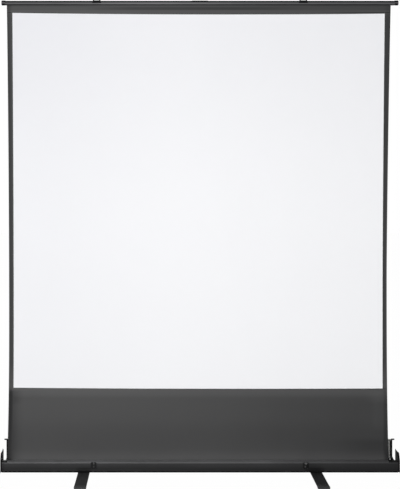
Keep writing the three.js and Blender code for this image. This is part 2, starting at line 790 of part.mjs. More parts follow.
function handle_bail() {
  const arm_x = bail_half - handle_lug_thickness / 2 - swing_gap - bail_wire_radius;
  const path = new THREE.CurvePath();
  const low = -bail_drop;
  const start = new THREE.Vector3(-bail_half, 0, 0);
  const left_top = new THREE.Vector3(-arm_x, 0, 0);
  const left_low = new THREE.Vector3(-arm_x, 0, low);
  const right_low = new THREE.Vector3(arm_x, 0, low);
  const right_top = new THREE.Vector3(arm_x, 0, 0);
  const end = new THREE.Vector3(bail_half, 0, 0);
  const inset = (from, to, reach) => from.clone().add(to.clone().sub(from).setLength(reach));
  const tight = bail_wire_radius + fit_gap;
  const corners = [
    [start, left_top, left_low, tight], [left_top, left_low, right_low, bail_corner],
    [left_low, right_low, right_top, bail_corner], [right_low, right_top, end, tight],
  ];
  let reached = start;
  for (const [before, corner, after, reach] of corners) {
    const into = inset(corner, before, Math.min(reach, corner.distanceTo(before) / 2));
    const out = inset(corner, after, reach);
    path.add(new THREE.LineCurve3(reached, into));
    path.add(new THREE.QuadraticBezierCurve3(into, corner, out));
    reached = out;
  }
  path.add(new THREE.LineCurve3(reached, end));
  return wire(path, bail_wire_radius, bail_steps, bail_wire_sides);
}

piece('handle_base', handle_base(), black_steel());
piece('handle_bail', handle_bail(), black_steel(), [0, bail_pivot_y, bail_pivot_z]);

// Lid: a bent aluminium channel standing open behind the screen, its hollow towards the viewer
const lid_back_y = front_y + lid_front_depth + lid_channel_depth;
const lid_front_y = front_y + lid_front_depth;
const lid_bottom = case_bottom + lid_skirt_height;
const lid_top = lid_bottom + lid_height + fit_gap;
const lid_section = [
  [lid_back_y - lid_skirt, lid_bottom - lid_flange],
  [lid_back_y - lid_skirt, lid_bottom],
  [lid_back_y, lid_bottom],
  [lid_back_y, lid_top - lid_slope_height],
  [lid_front_y, lid_top],
];
const lid_half = inner_plate_face + inner_plate_thickness;
piece('lid_panel', along_x(bent_sheet(lid_section, lid_sheet), -lid_half, lid_half),
  satin_aluminium());

const lid_pin_y = front_y + lid_pivot_depth;
const lid_pin_z = case_bottom + lid_pivot_height;

// Lid end caps: close the channel's ends, carry the hinge pins and a tab that ends the free edge
function lid_cap() {
  const x0 = lid_half + fit_gap;
  const x1 = x0 + lid_cap_thickness;
  const cheek = along_x(softened([
    [lid_pin_y, lid_pin_z - lid_lug_radius],
    [lid_back_y, lid_bottom],
    [lid_back_y, lid_top - lid_slope_height],
    [lid_front_y + lid_tab_depth / 2, lid_top],
    [lid_front_y, lid_top],
    [lid_front_y, lid_pin_z],
  ], sheet_rounding), x0, x1);
  const lug = along_x(disc(lid_lug_radius, lid_pin_y, lid_pin_z), x0, x1, hole_segments);
  const tab = along_x(softened([
    [lid_front_y, lid_top - lid_tab_height],
    [lid_front_y + lid_tab_depth, lid_top - lid_tab_height],
    [lid_front_y + lid_tab_depth, lid_top],
    [lid_front_y, lid_top],
  ], sheet_rounding), x0, x1 + lid_tab_length);
  const bore = along_x(disc(lid_pin_radius + fit_gap, lid_pin_y, lid_pin_z),
    x1 - lid_pin_seat - fit_gap, x1 + cut_overrun, hole_segments);
  return cut(joined(cheek, lug, tab), bore);
}

for_both_ends('lid_cap', lid_cap(), black_plastic);

const lid_pin_start = lid_half + fit_gap + lid_cap_thickness - lid_pin_seat;
for_both_ends('lid_pin', turned_along_x([
  [0, lid_pin_start], [lid_pin_radius, lid_pin_start],
  [lid_pin_radius, fin_inner_face - fit_gap], [0, fin_inner_face - fit_gap],
], small_sides).translate(0, lid_pin_y, lid_pin_z), zinc_steel);

// Clasps: a plate on the case's face, a pin in its two lugs and a lever that hooks over the lid
const clasp_top = case_bottom + clasp_plate_top;
const clasp_bottom = clasp_top - clasp_height;
const clasp_pin_y = front_y - fit_gap - clasp_plate_thickness - clasp_knuckle_radius;
const clasp_pin_z = clasp_bottom + clasp_knuckle_radius;

function clasp_plate(x) {
  const half = clasp_width / 2;
  const back = front_y - fit_gap;
  const front = back - clasp_plate_thickness;
  const plate = along_y(rounded_rectangle(x - half, clasp_bottom, x + half, clasp_top,
    sheet_rounding), front, back);
  const lug = new THREE.Shape();
  lug.moveTo(back - clasp_plate_thickness / 2, clasp_bottom);
  lug.lineTo(back - clasp_plate_thickness / 2, clasp_pin_z + clasp_knuckle_radius);
  lug.absarc(clasp_pin_y, clasp_pin_z, clasp_knuckle_radius, Math.PI / 2, 1.5 * Math.PI, false);
  const lugs = [x - half, x + half - clasp_lug_width].map((lug_x) =>
    along_x(lug, lug_x, lug_x + clasp_lug_width));
  const bore = along_x(disc(clasp_pin_radius + fit_gap, clasp_pin_y, clasp_pin_z),
    x - half - cut_overrun, x + half + cut_overrun, hole_segments);
  return cut(joined(plate, ...lugs), bore);
}

function clasp_lever(x) {
  const half = clasp_width / 2 - clasp_lug_width - fit_gap;
  const back = clasp_pin_y - clasp_lever_sheet / 2;
  const blade = along_x(bent_sheet([
    [back, clasp_pin_z],
    [back, clasp_top],
    [back + clasp_hook_reach, case_top - fit_gap],
  ], clasp_lever_sheet), x - half, x + half);
  const knuckle = along_x(disc(clasp_knuckle_radius - fit_gap, clasp_pin_y, clasp_pin_z),
    x - half, x + half, hole_segments);
  const wings = along_y(outline([
    [x - clasp_width / 2, clasp_pin_z + clasp_knuckle_radius + fit_gap],
    [x + clasp_width / 2, clasp_pin_z + clasp_knuckle_radius + fit_gap],
    [x + clasp_width / 2, clasp_top],
    [x - clasp_width / 2, clasp_top],
  ]), back - clasp_lever_sheet, back);
  const notch = along_y(outline([
    [x, clasp_top - clasp_notch_height],
    [x + clasp_notch_width / 2, case_top + cut_overrun],
    [x - clasp_notch_width / 2, case_top + cut_overrun],
  ]), back - clasp_hook_reach, back + clasp_hook_reach + cut_overrun);
  const bore = along_x(disc(clasp_pin_radius + fit_gap, clasp_pin_y, clasp_pin_z),
    x - half - cut_overrun, x + half + cut_overrun, hole_segments);
  return cut(joined(blade, knuckle, wings), notch, bore);
}

for (const [name, x] of [['left', left_clasp_x], ['right', right_clasp_x]]) {
  piece(`${name}_clasp_plate`, clasp_plate(x), black_steel());
  piece(`${name}_clasp_lever`, clasp_lever(x), black_steel());
  piece(`${name}_clasp_pin`, turned_along_x([
    [0, -clasp_width / 2], [clasp_pin_radius, -clasp_width / 2],
    [clasp_pin_radius, clasp_width / 2], [0, clasp_width / 2],
  ], small_sides), zinc_steel(), [x, clasp_pin_y, clasp_pin_z]);
}

// Feet: flat bars that swivel under the case, with a moulded shoe at each end
const foot_bar_bottom = foot_cap_sole + fit_gap;
const foot_bar_top = foot_bar_bottom + foot_bar_thickness;
const foot_tongue_width = foot_width - 2 * foot_tongue_step;
const foot_half = foot_length / 2;
const foot_bar_half = foot_half - foot_cap_wall - fit_gap;
const foot_bar_corner = foot_cap_corner - foot_cap_wall - fit_gap;

function foot_bar() {
  const shoulder_y = foot_half - foot_cap_length - fit_gap;
  const tongues = along_z(rounded_rectangle(-foot_tongue_width / 2, -foot_bar_half,
    foot_tongue_width / 2, foot_bar_half, foot_bar_corner), foot_bar_bottom, foot_bar_top);
  const middle = along_z(outline([
    [-foot_width / 2, -shoulder_y], [foot_width / 2, -shoulder_y],
    [foot_width / 2, shoulder_y], [-foot_width / 2, shoulder_y],
  ]), foot_bar_bottom, foot_bar_top);
  const bolt_hole = along_z(disc(foot_bolt_radius + fit_gap, 0, 0),
    foot_bar_bottom - cut_overrun, foot_bar_top + cut_overrun, hole_segments);
  return cut(joined(middle, tongues), bolt_hole);
}

function foot_cap() {
  const mouth_y = foot_half - foot_cap_length;
  const start_y = mouth_y - 2 * foot_cap_corner;
  const outer = along_z(rounded_rectangle(-foot_width / 2, start_y,
    foot_width / 2, foot_half, foot_cap_corner), 0, foot_cap_height);
  const socket = along_z(rounded_rectangle(-foot_tongue_width / 2 - fit_gap,
    start_y - cut_overrun, foot_tongue_width / 2 + fit_gap,
    foot_bar_half + fit_gap, foot_bar_corner), foot_cap_sole, foot_bar_top + fit_gap);
  const mouth = along_z(outline([
    [-foot_width / 2 - cut_overrun, start_y - cut_overrun],
    [foot_width / 2 + cut_overrun, start_y - cut_overrun],
    [foot_width / 2 + cut_overrun, mouth_y],
    [-foot_width / 2 - cut_overrun, mouth_y],
  ]), -cut_overrun, foot_cap_height + cut_overrun);
  return cut(outer, socket, mouth);
}

for (const { name, sign } of sides) {
  const x = sign * foot_spread / 2;
  piece(`${name}_foot_bar`, foot_bar(), black_steel(), [x, 0, 0]);
  piece(`${name}_foot_rear_cap`, foot_cap(), black_plastic(), [x, 0, 0]);
  piece(`${name}_foot_front_cap`, foot_cap().rotateZ(Math.PI), black_plastic(), [x, 0, 0]);
  const washer_bottom = foot_bar_top + fit_gap;
  piece(`${name}_foot_washer`, turned_along_z([
    [foot_bolt_radius + fit_gap, washer_bottom],
    [foot_washer_radius, washer_bottom],
    [foot_washer_radius, case_bottom - fit_gap],
    [foot_bolt_radius + fit_gap, case_bottom - fit_gap],
    [foot_bolt_radius + fit_gap, washer_bottom],
  ]), black_plastic(), [x, 0, 0]);
  const nut_bottom = case_floor_top + fit_gap;
  const nut_top = nut_bottom + foot_nut_height;
  const head_top = foot_bar_bottom - fit_gap;
  piece(`${name}_foot_bolt`, turned_along_z([
    [0, head_top - foot_bolt_head_thickness],
    [foot_bolt_head_radius, head_top - foot_bolt_head_thickness],
    [foot_bolt_head_radius, head_top],
    [foot_bolt_radius, head_top], [foot_bolt_radius, nut_top], [0, nut_top],
  ], small_sides), zinc_steel(), [x, 0, 0]);
  const nut = along_z(outline(Array.from({ length: foot_nut_sides }, (_, index) => {
    const angle = 2 * Math.PI * index / foot_nut_sides;
    return [foot_nut_radius * Math.cos(angle), foot_nut_radius * Math.sin(angle)];
  })), nut_bottom, nut_top);
  const thread = along_z(disc(foot_bolt_radius + fit_gap), nut_bottom - cut_overrun,
    nut_top + cut_overrun, hole_segments);
  piece(`${name}_foot_nut`, cut(nut, thread), zinc_steel(), [x, 0, 0]);
}

export default screen;
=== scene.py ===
import bmesh
import bpy
import math
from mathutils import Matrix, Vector


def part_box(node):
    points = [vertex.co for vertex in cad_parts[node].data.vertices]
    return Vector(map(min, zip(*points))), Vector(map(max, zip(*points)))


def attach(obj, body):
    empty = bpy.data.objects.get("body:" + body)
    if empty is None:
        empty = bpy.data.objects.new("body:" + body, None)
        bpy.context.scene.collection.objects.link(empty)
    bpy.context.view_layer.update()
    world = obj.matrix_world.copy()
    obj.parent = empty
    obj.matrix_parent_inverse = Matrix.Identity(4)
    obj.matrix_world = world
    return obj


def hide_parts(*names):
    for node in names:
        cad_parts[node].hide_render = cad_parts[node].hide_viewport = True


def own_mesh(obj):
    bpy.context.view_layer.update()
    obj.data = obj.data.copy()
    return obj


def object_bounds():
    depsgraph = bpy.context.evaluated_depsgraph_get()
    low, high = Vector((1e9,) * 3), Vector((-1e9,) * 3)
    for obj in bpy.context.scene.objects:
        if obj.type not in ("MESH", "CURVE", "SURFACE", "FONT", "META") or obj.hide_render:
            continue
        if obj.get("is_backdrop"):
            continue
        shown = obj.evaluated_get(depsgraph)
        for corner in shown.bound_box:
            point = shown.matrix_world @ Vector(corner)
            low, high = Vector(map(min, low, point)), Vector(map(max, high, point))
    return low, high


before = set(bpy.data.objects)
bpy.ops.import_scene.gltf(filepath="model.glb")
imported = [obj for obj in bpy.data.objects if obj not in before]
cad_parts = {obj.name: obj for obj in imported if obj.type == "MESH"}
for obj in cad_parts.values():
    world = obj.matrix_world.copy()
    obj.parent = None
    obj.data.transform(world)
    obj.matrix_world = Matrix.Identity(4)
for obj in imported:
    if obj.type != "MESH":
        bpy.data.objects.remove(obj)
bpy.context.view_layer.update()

# Camera: stands level in front of the screen, a little to the left of its middle.
# Its frame is shifted down and to the right, so the uprights stay parallel.
camera_place = (-0.188, -4.875, 1.4385)
bpy.ops.object.camera_add(location=camera_place, rotation=(math.radians(90), 0, 0))
camera = bpy.context.object
camera.data.lens = 74
camera.data.sensor_width = 36
camera.data.shift_x = 0.0798
camera.data.shift_y = -0.142
bpy.context.scene.camera = camera
bpy.context.scene.view_settings.view_transform = "Standard"


# Studio: a plain white room with a soft lamp in front and a little to the left, a weaker one
# overhead and a wide one behind. The room shows white to the eye and lights the object evenly.
class Value:
    """One output of a node. Sums, products and the like of values add Math nodes."""

    def __init__(self, graph, socket):
        self.graph = graph
        self.socket = socket

    def __getitem__(self, name):
        return Value(self.graph, self.socket.node.outputs[name])

    def calculated(self, operation, first, second):
        return self.graph.node("Math", {"operation": operation}, {0: first, 1: second})

    def __add__(self, other):
        return self.calculated("ADD", self, other)

    def __sub__(self, other):
        return self.calculated("SUBTRACT", self, other)

    def __rsub__(self, other):
        return self.calculated("SUBTRACT", other, self)

    def __mul__(self, other):
        return self.calculated("MULTIPLY", self, other)

    def __or__(self, other):
        return self.calculated("MAXIMUM", self, other)

    __radd__ = __add__
    __rmul__ = __mul__


class Graph:
    """The nodes of one material or of the world."""

    def __init__(self, tree):
        self.tree = tree
        self.tree.nodes.clear()

    def node(self, kind, settings, inputs, output=0):
        made = self.tree.nodes.new("ShaderNode" + kind)
        for name, setting in settings.items():
            setattr(made, name, setting)
        for name, value in inputs.items():
            if isinstance(value, Value):
                self.tree.links.new(value.socket, made.inputs[name])
            else:
                made.inputs[name].default_value = value
        return Value(self, made.outputs[output]) if made.outputs else None

    def seen(self):
        """1 for what the camera sees, also in a shine or through glass, and 0 for falling light."""
        ray = self.node("LightPath", {}, {})
        return ray["Is Camera Ray"] | ray["Is Glossy Ray"] | ray["Is Transmission Ray"]


white = (1, 1, 1, 1)
ambient_strength = 0.45
world = bpy.data.worlds.new("white_room")
world.use_nodes = True
bpy.context.scene.world = world
room = Graph(world.node_tree)
room_light = room.node("Background", {}, {
    "Color": white, "Strength": room.seen() * (1 - ambient_strength) + ambient_strength})
room.node("OutputWorld", {}, {"Surface": room_light})

floor_size = 40
floor_grey = (0.5, 0.5, 0.5, 1)
floor_shadow_share = 0.012
bpy.ops.mesh.primitive_plane_add(size=floor_size, location=(0, 0, 0))
floor = bpy.context.object
floor.name = "studio_floor"
floor_material = bpy.data.materials.new("white_floor")
floor_material.use_nodes = True
ground = Graph(floor_material.node_tree)
glow = ground.node("Emission", {}, {"Color": white, "Strength": 1})
matt = ground.node("BsdfDiffuse", {}, {"Color": floor_grey})
glow_share = ground.seen() * (1 - floor_shadow_share)
surface = ground.node("MixShader", {}, {0: glow_share, 1: matt, 2: glow})
ground.node("OutputMaterial", {}, {"Surface": surface})
floor.data.materials.append(floor_material)
floor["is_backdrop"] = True


def lamp(name, place, target, size, power):
    bpy.ops.object.light_add(type="AREA", location=place)
    light = bpy.context.object
    light.name = name
    light.data.size = size
    light.data.energy = power
    aim = Vector(target) - Vector(place)
    light.rotation_euler = aim.to_track_quat("-Z", "Y").to_euler()


lamp("main_lamp", (-1.5, -8.0, 1.25), (0, 0, 1.1), 1.6, 402)
lamp("top_lamp", (-0.6, -2.0, 6.0), (0, 0, 0.2), 1.2, 16)
lamp("rear_lamp", (-2.5, 7.0, 4.0), (0, 0, 1.1), 3.0, 350)


# Case: one black anodised aluminium extrusion. Its floor carries the works, its front wall
# rises to a lip over the roller, and a small bead runs along the foot of the front face.
def nothing_selected():
    if bpy.context.mode != "OBJECT":
        bpy.ops.object.mode_set(mode="OBJECT")
    bpy.ops.object.select_all(action="DESELECT")


def selected_alone(piece):
    nothing_selected()
    piece.select_set(True)
    bpy.context.view_layer.objects.active = piece


def all_picked():
    """In edit mode, selects the whole of the active piece."""
    if bpy.context.mode == "OBJECT":
        bpy.ops.object.mode_set(mode="EDIT")
    bpy.ops.mesh.select_all(action="SELECT")


def pick(kind, wanted):
    """In edit mode, selects the faces, edges or points for which wanted(place, direction) is true."""
    piece = bpy.context.object
    if piece.mode != "EDIT":
        bpy.ops.object.mode_set(mode="EDIT")
    bpy.ops.mesh.select_mode(type=kind)
    bpy.ops.mesh.select_all(action="DESELECT")
    shape = bmesh.from_edit_mesh(piece.data)
    shape.normal_update()
    if kind == "FACE":
        for face in shape.faces:
            face.select_set(wanted(face.calc_center_median(), face.normal))
    elif kind == "EDGE":
        for edge in shape.edges:
            ends = [corner.co for corner in edge.verts]
            edge.select_set(wanted((ends[0] + ends[1]) / 2, (ends[1] - ends[0]).normalized()))
    else:
        for point in shape.verts:
            point.select_set(wanted(point.co, point.normal))
    bmesh.update_edit_mesh(piece.data)


def lengthwise(along):
    return abs(along.x) > 0.9


def extrude(x=0, y=0, z=0):
    bpy.ops.mesh.extrude_region_move(TRANSFORM_OT_translate={"value": (x, y, z)})


def cut_across(x):
    """Adds a line of edges all round the active piece, at one place along it."""
    all_picked()
    bpy.ops.mesh.bisect(plane_co=(x, 0, 0), plane_no=(1, 0, 0))


def outside_out(inside_out):
    """Turns all faces one way, and over if inside_out(place, direction) is true for any."""
    all_picked()
    bpy.ops.mesh.normals_make_consistent(inside=False)
    pick("FACE", inside_out)
    if any(face.select for face in bmesh.from_edit_mesh(bpy.context.object.data).faces):
        all_picked()
        bpy.ops.mesh.flip_normals()


def settled(name):
    """Names the active piece and applies its place, turn and size."""
    piece = bpy.context.object
    piece.name = name
    bpy.ops.object.transform_apply(location=True, rotation=True, scale=True)
    return piece


def plate(name, low, high):
    """A flat sheet, low and high being its corners; they differ along two axes only."""
    nothing_selected()
    low, high = Vector(low), Vector(high)
    bpy.ops.mesh.primitive_plane_add(size=1, location=(low + high) / 2)
    piece = bpy.context.object
    size = high - low
    if size.z > 0:
        piece.rotation_euler.x = math.radians(90)
        piece.scale = (size.x, size.z, 1)
    else:
        piece.scale = (size.x, size.y, 1)
    return settled(name)


def thickened(piece, thickness):
    """Gives a sheet its thickness, on its inner side."""
    selected_alone(piece)
    solidify = piece.modifiers.new("wall", "SOLIDIFY")
    solidify.thickness = thickness
    solidify.offset = -1
    solidify.use_even_offset = True
    bpy.ops.object.modifier_apply(modifier=solidify.name)


def edges_rounded(piece, radius, steps=2):
    selected_alone(piece)
    bevel = piece.modifiers.new("edges", "BEVEL")
    bevel.width = radius
    bevel.segments = steps
    bevel.limit_method = "ANGLE"
    bevel.angle_limit = math.radians(30)
    bpy.ops.object.modifier_apply(modifier=bevel.name)


def finished(piece, body, slot, material, *stands_for):
    """Smooths a piece by angle, gives it its finish and its body, and hides the node it stands for.
    """
    selected_alone(piece)
    bpy.ops.object.shade_smooth_by_angle(angle=math.radians(35))
    piece.data.materials.clear()
    piece.data.materials.append(material)
    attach(piece, body)
    if stands_for:
        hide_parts(*stands_for)


class Finish(Graph):
    """A material with one shader, and the object's own coordinates for its patterns."""

    def __init__(self, name, sockets):
        self.material = bpy.data.materials.new(name)
        self.material.use_nodes = True
        super().__init__(self.material.node_tree)
        self.place = self.node("TexCoord", {}, {})["Object"]
        self.sockets = sockets

    def stretched(self, x, y, z):
        return self.node("Mapping", {}, {"Vector": self.place, "Scale": (x, y, z)})

    def cloudy(self, vector, scale, detail=3):
        return self.node("TexNoise", {}, {"Vector": vector, "Scale": scale, "Detail": detail})

    def between(self, share, dark, light):
        """The colour that far from dark to light, or beyond them, but not below black."""
        black_share = -dark[0] / (light[0] - dark[0])
        top_share = 20
        held = self.node("Clamp", {}, {"Value": share, "Min": black_share, "Max": top_share})
        # Inputs 6 and 7 and output 2 are the node's colours.
        return self.node("Mix", {"data_type": "RGBA", "clamp_factor": False}, {
            0: held, 6: (*dark, 1), 7: (*light, 1)}, 2)

    def rising(self, start, end, axis="Z"):
        """A share that rises from 0 to 1 between two places; it falls if the end is lower."""
        place = self.node("SeparateXYZ", {}, {"Vector": self.place})[axis]
        return self.node("MapRange", {"interpolation_type": "SMOOTHSTEP"}, {
            "Value": place, "From Min": start, "From Max": end})

    def band(self, start, end, edge):
        """A share that is 1 between two heights and fades out beyond them."""
        return self.rising(start - edge, start + edge) * self.rising(end + edge, end - edge)

    def relief(self, height, depth, strength, rounding=0):
        """A fine bump. With a rounding, sharp edges catch the light as if worn that much."""
        sockets = {"Height": height, "Distance": depth, "Strength": strength}
        if rounding:
            sockets["Normal"] = self.node("Bevel", {"samples": 4}, {"Radius": rounding})
        return self.node("Bump", {}, sockets)

    def done(self, **varying):
        named = {name.replace("_", " ").title(): value for name, value in varying.items()}
        shader = self.node("BsdfPrincipled", {}, {**self.sockets, **named})
        self.node("OutputMaterial", {}, {"Surface": shader})
        return self.material


def drawn_aluminium(name, dark, light, roughness, metallic, specular, painted_bands=(), right_end_shade=0,
                    painted_shadows=()):
    """Anodised or bare extrusion: faint lines along its length, and a cloudy satin.
    Each band is a height where it starts, one where it ends, how far it fades out and how
    much paler it is: a painted highlight, or painted shade where the amount is negative.
    A share of the tone is taken away towards the right end, a painted shade where less light
    falls. A painted shadow has a left and a right end, the heights between which it deepens
    downwards, and how much paler it is."""
    finish = Finish(name, {"Metallic": metallic, "Specular IOR Level": specular})
    lines = finish.cloudy(finish.stretched(1.5, 700, 700), 1.0, 4)
    clouds = finish.cloudy(finish.place, 5.0)
    shade = lines * 0.6 + clouds * 0.4
    for start, end, edge, amount in painted_bands:
        shade = finish.band(start, end, edge) * (clouds + 0.5) * amount + shade
    shade = shade * (1 - finish.rising(0.0, 0.9, "X") * right_end_shade)
    for left, right, start, end, amount in painted_shadows:
        from_left = finish.rising(left - shadow_fade, left + shadow_fade, "X")
        from_right = finish.rising(right + shadow_fade, right - shadow_fade, "X")
        shade = finish.rising(start, end) * from_left * from_right * amount + shade
    return finish.done(
        base_color=finish.between(shade, dark, light),
        roughness=clouds * 0.10 + lines * 0.06 + (roughness - 0.08),
        normal=finish.relief(lines, 0.00004, 0.5))


shadow_fade = 0.012
black_anodised = drawn_aluminium(
    "black_anodised", (0.006, 0.006, 0.0065), (0.022, 0.022, 0.023),
    roughness=0.42, metallic=0.25, specular=0.16,
    painted_bands=(
        # Painted highlights on the front edge and lip
        (0.0592, 0.0700, 0.0006, 7.3), (0.0600, 0.0700, 0.0006, 3.5), (0.0540, 0.0588, 0.0012, 3.3),
        # Front face, down to the bead: painted light fading down the face, a painted highlight on the
        # bead and painted shade over and just above its top
        (0.0440, 0.0700, 0.0110, 0.40), (0.0150, 0.0190, 0.0006, 0.2),
        (0.0188, 0.0216, 0.0006, -0.45), (0.0224, 0.0262, 0.0008, -0.55),
        (0.0224, 0.0340, 0.0030, -0.20)),
    # Painted shade: darker towards the right end, away from the lamp.
    right_end_shade=0.5,
    # The shade above the feet
    painted_shadows=((-0.592, -0.526, 0.038, 0.012, -1.0), (0.508, 0.592, 0.040, 0.012, -0.9)))

case_low, case_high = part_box("case_body")
case_wall = 0.002
rear_wall_drop = 0.0075
lip_edge = case_low.y + 0.021
lip_drop = 0.006
lip_slope = 0.003
ridge_height = 0.0068
ridge_width = 0.0025
ridge_step = 0.0006
undercut = 0.0018
front_radius = 0.004
crown = 0.0003
crown_steps = 5
pocket_gap = 0.0003
pocket_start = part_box("right_inner_plate")[0].x - pocket_gap
pocket_wall_top = case_low.z + 0.026
close = 0.0005

case = plate("case_shell", (case_low.x, case_low.y + undercut, case_low.z),
             (case_high.x, case_high.y, case_low.z))
for end in (-pocket_start, pocket_start):
    cut_across(end)
pick("EDGE", lambda at, along: at.y > case_high.y - close)
extrude(z=pocket_wall_top - case_low.z)
pick("EDGE", lambda at, along: at.z > pocket_wall_top - close and lengthwise(along)
     and abs(at.x) < pocket_start)
extrude(z=case_high.z - rear_wall_drop - pocket_wall_top)
pick("EDGE", lambda at, along: at.y < case_low.y + undercut + close and lengthwise(along))
extrude(z=ridge_height)
extrude(y=-undercut - ridge_step, z=ridge_step)
extrude(z=ridge_width)
extrude(y=ridge_step, z=ridge_step)
face_height = case_high.z - case_low.z - ridge_height - ridge_width - 2 * ridge_step - lip_slope
for step in range(crown_steps):
    lean = crown * (2 * step + 1 - crown_steps) / crown_steps
    extrude(y=lean, z=face_height / crown_steps)
extrude(y=lip_edge - case_low.y, z=lip_slope)
extrude(z=-lip_drop)
outside_out(lambda at, normal: at.z < case_low.z + close and normal.z > 0)
pick("EDGE", lambda at, along: lengthwise(along) and at.z > case_high.z - lip_slope - close
     and at.y < case_low.y + close)
bpy.ops.mesh.bevel(offset=front_radius, segments=6, affect="EDGES")
thickened(case, case_wall)
edges_rounded(case, radius=0.00035)
finished(case, "case", "black_case", black_anodised, "case_body")


# Foot strip: a soft black rubber strip, pressed into the step along the foot of the case's
# front. It takes the knocks there; its near-black also stands in for the shade in that step.
def block(name, low, high):
    """A box between two opposite corners."""
    nothing_selected()
    low, high = Vector(low), Vector(high)
    bpy.ops.mesh.primitive_cube_add(size=1, location=(low + high) / 2)
    bpy.context.object.scale = high - low
    return settled(name)


def rubber(name, colour, roughness):
    """Matt rubber with a faint bloom."""
    finish = Finish(name, {"Metallic": 0, "Specular IOR Level": 0.05})
    bloom = finish.cloudy(finish.place, 40, 4)
    grain = finish.cloudy(finish.place, 2500, 2)
    return finish.done(
        base_color=finish.between(bloom, colour, [2 * part for part in colour]),
        roughness=bloom * 0.1 + (roughness - 0.05),
        normal=finish.relief(grain, 0.00004, 0.5))


black_rubber = rubber("black_rubber", (0.004, 0.004, 0.004), roughness=0.8)
strip_bottom = 0.0089
strip_end_gap = 0.0005
strip_recess = 0.0003
strip_overlap = 0.0002
strip_top_gap = 0.0012
strip = block("front_rubber_strip",
              (case_low.x + strip_end_gap, case_low.y + strip_recess, strip_bottom),
              (case_high.x - strip_end_gap, case_low.y + undercut + strip_overlap,
               case_low.z + ridge_height - strip_top_gap))
pick("EDGE", lambda at, along: lengthwise(along) and at.y < case_low.y + close)
bpy.ops.mesh.bevel(offset=0.0005, segments=3, affect="EDGES")
finished(strip, "case", "black_plastic", black_rubber)


# Outer end plates: black moulded plastic, pushed into the case's ends. Each has a thin fin
# that stands up beside the lid, a sunk outer face and two screws into the case. A moulded
# corner piece sits on each end of the lip.
def linked(name, mesh):
    """A new piece with that mesh, selected alone."""
    piece = bpy.data.objects.new(name, mesh)
    bpy.context.scene.collection.objects.link(piece)
    selected_alone(piece)
    return piece


def moulded_copy(node, name, radius, steps=2):
    """The node's own shape with its triangles joined and its edges rounded."""
    piece = linked(name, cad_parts[node].data.copy())
    bpy.ops.mesh.customdata_custom_splitnormals_clear()
    all_picked()
    bpy.ops.mesh.remove_doubles(threshold=0.00002)
    bpy.ops.mesh.normals_make_consistent(inside=False)
    bpy.ops.mesh.dissolve_limited(angle_limit=math.radians(1))
    edges_rounded(piece, radius, steps)
    return piece


def sink(rim, depth, apart=False):
    """Lowers the selected faces inside a rim, all together or each apart."""
    bpy.ops.mesh.inset(thickness=rim, use_individual=apart)
    bpy.ops.mesh.inset(thickness=depth, depth=-depth, use_individual=apart)


def moulded_plastic(name, colour, roughness):
    """Black moulded plastic with a fine spark grain."""
    finish = Finish(name, {"Metallic": 0, "Specular IOR Level": 0.05})
    grain = finish.cloudy(finish.place, 1800, 2)
    clouds = finish.cloudy(finish.place, 12)
    return finish.done(
        base_color=finish.between(clouds, [0.75 * part for part in colour], colour),
        roughness=grain * 0.12 + clouds * 0.08 + (roughness - 0.1),
        normal=finish.relief(grain, 0.00006, 0.6))


black_moulding = moulded_plastic("black_moulding", (0.0042, 0.0042, 0.0045), roughness=0.55)
sides = {"left": -1, "right": 1}
square_on = 0.99
sunk_rim = 0.004
sunk_depth = 0.0006
raised_band = 0.0015
corner_rise = {"left": 0.0022, "right": 0.0012}
corner_wrap = 0.0017
corner_sheet = 0.0003
corner_overhang = 0.0008
corner_inner = {"left": -0.927, "right": 0.908}
corner_outer = 0.9525

for side, outer in sides.items():
    node = f"{side}_end_plate"
    low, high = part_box(node)
    outer_x = high.x if outer > 0 else low.x
    end_plate = moulded_copy(node, f"{side}_end_moulding", radius=0.0006)
    pick("VERT", lambda at, normal: at.z > case_high.z - raised_band and at.y < lip_edge)
    bpy.ops.transform.translate(value=(0, 0, corner_rise[side]))
    pick("FACE", lambda at, normal: normal.x * outer > square_on and abs(at.x - outer_x) < close)
    sink(sunk_rim, sunk_depth)
    finished(end_plate, "case", "black_plastic", black_moulding, node)

    ends = sorted((corner_inner[side], outer * corner_outer))
    corner = block(f"{side}_lip_corner",
                   (ends[0], case_low.y - corner_sheet, case_high.z - lip_slope - corner_wrap),
                   (ends[1], lip_edge + corner_overhang, case_high.z + corner_rise[side]))
    pick("EDGE", lambda at, along: lengthwise(along) and at.z > case_high.z)
    bpy.ops.mesh.bevel(offset=0.0007, segments=3, affect="EDGES")
    finished(corner, "case", "black_plastic", black_moulding)


# Screws: blackened steel screws with cross heads, two in each end plate, driven lengthwise
# into the case's ends.
quarter = math.radians(90)
along_x = (0, quarter, 0)


def rod(name, corners, radius, length, middle, turn):
    """A cylinder or prism that stands along Z before it is turned."""
    nothing_selected()
    bpy.ops.mesh.primitive_cylinder_add(
        vertices=corners, radius=radius, depth=length, location=middle, rotation=turn)
    return settled(name)


def cut_away(piece, cutter):
    """Takes the cutter's shape out of a piece and removes the cutter."""
    selected_alone(piece)
    cut = piece.modifiers.new("cut", "BOOLEAN")
    cut.operation = "DIFFERENCE"
    cut.object = cutter
    bpy.ops.object.modifier_apply(modifier=cut.name)
    bpy.data.objects.remove(cutter)


def screw_head(name, place, outer, radius, rise):
    """A domed head on the outer side of an end plate, with a cross cut into it."""
    head = rod(name, 32, radius, 2 * rise, place, along_x)
    pick("FACE", lambda at, normal: normal.x * outer > square_on)
    bpy.ops.mesh.inset(thickness=0.35 * radius, depth=0.5 * rise)
    long_half, narrow_half = 0.55 * radius, 0.14 * radius
    for slot_size in ((long_half, narrow_half), (narrow_half, long_half)):
        reach = Vector((rise, *slot_size))
        middle = Vector(place) + Vector((1.5 * rise * outer, 0, 0))
        cut_away(head, block("slot_cutter", middle - reach, middle + reach))
    return head


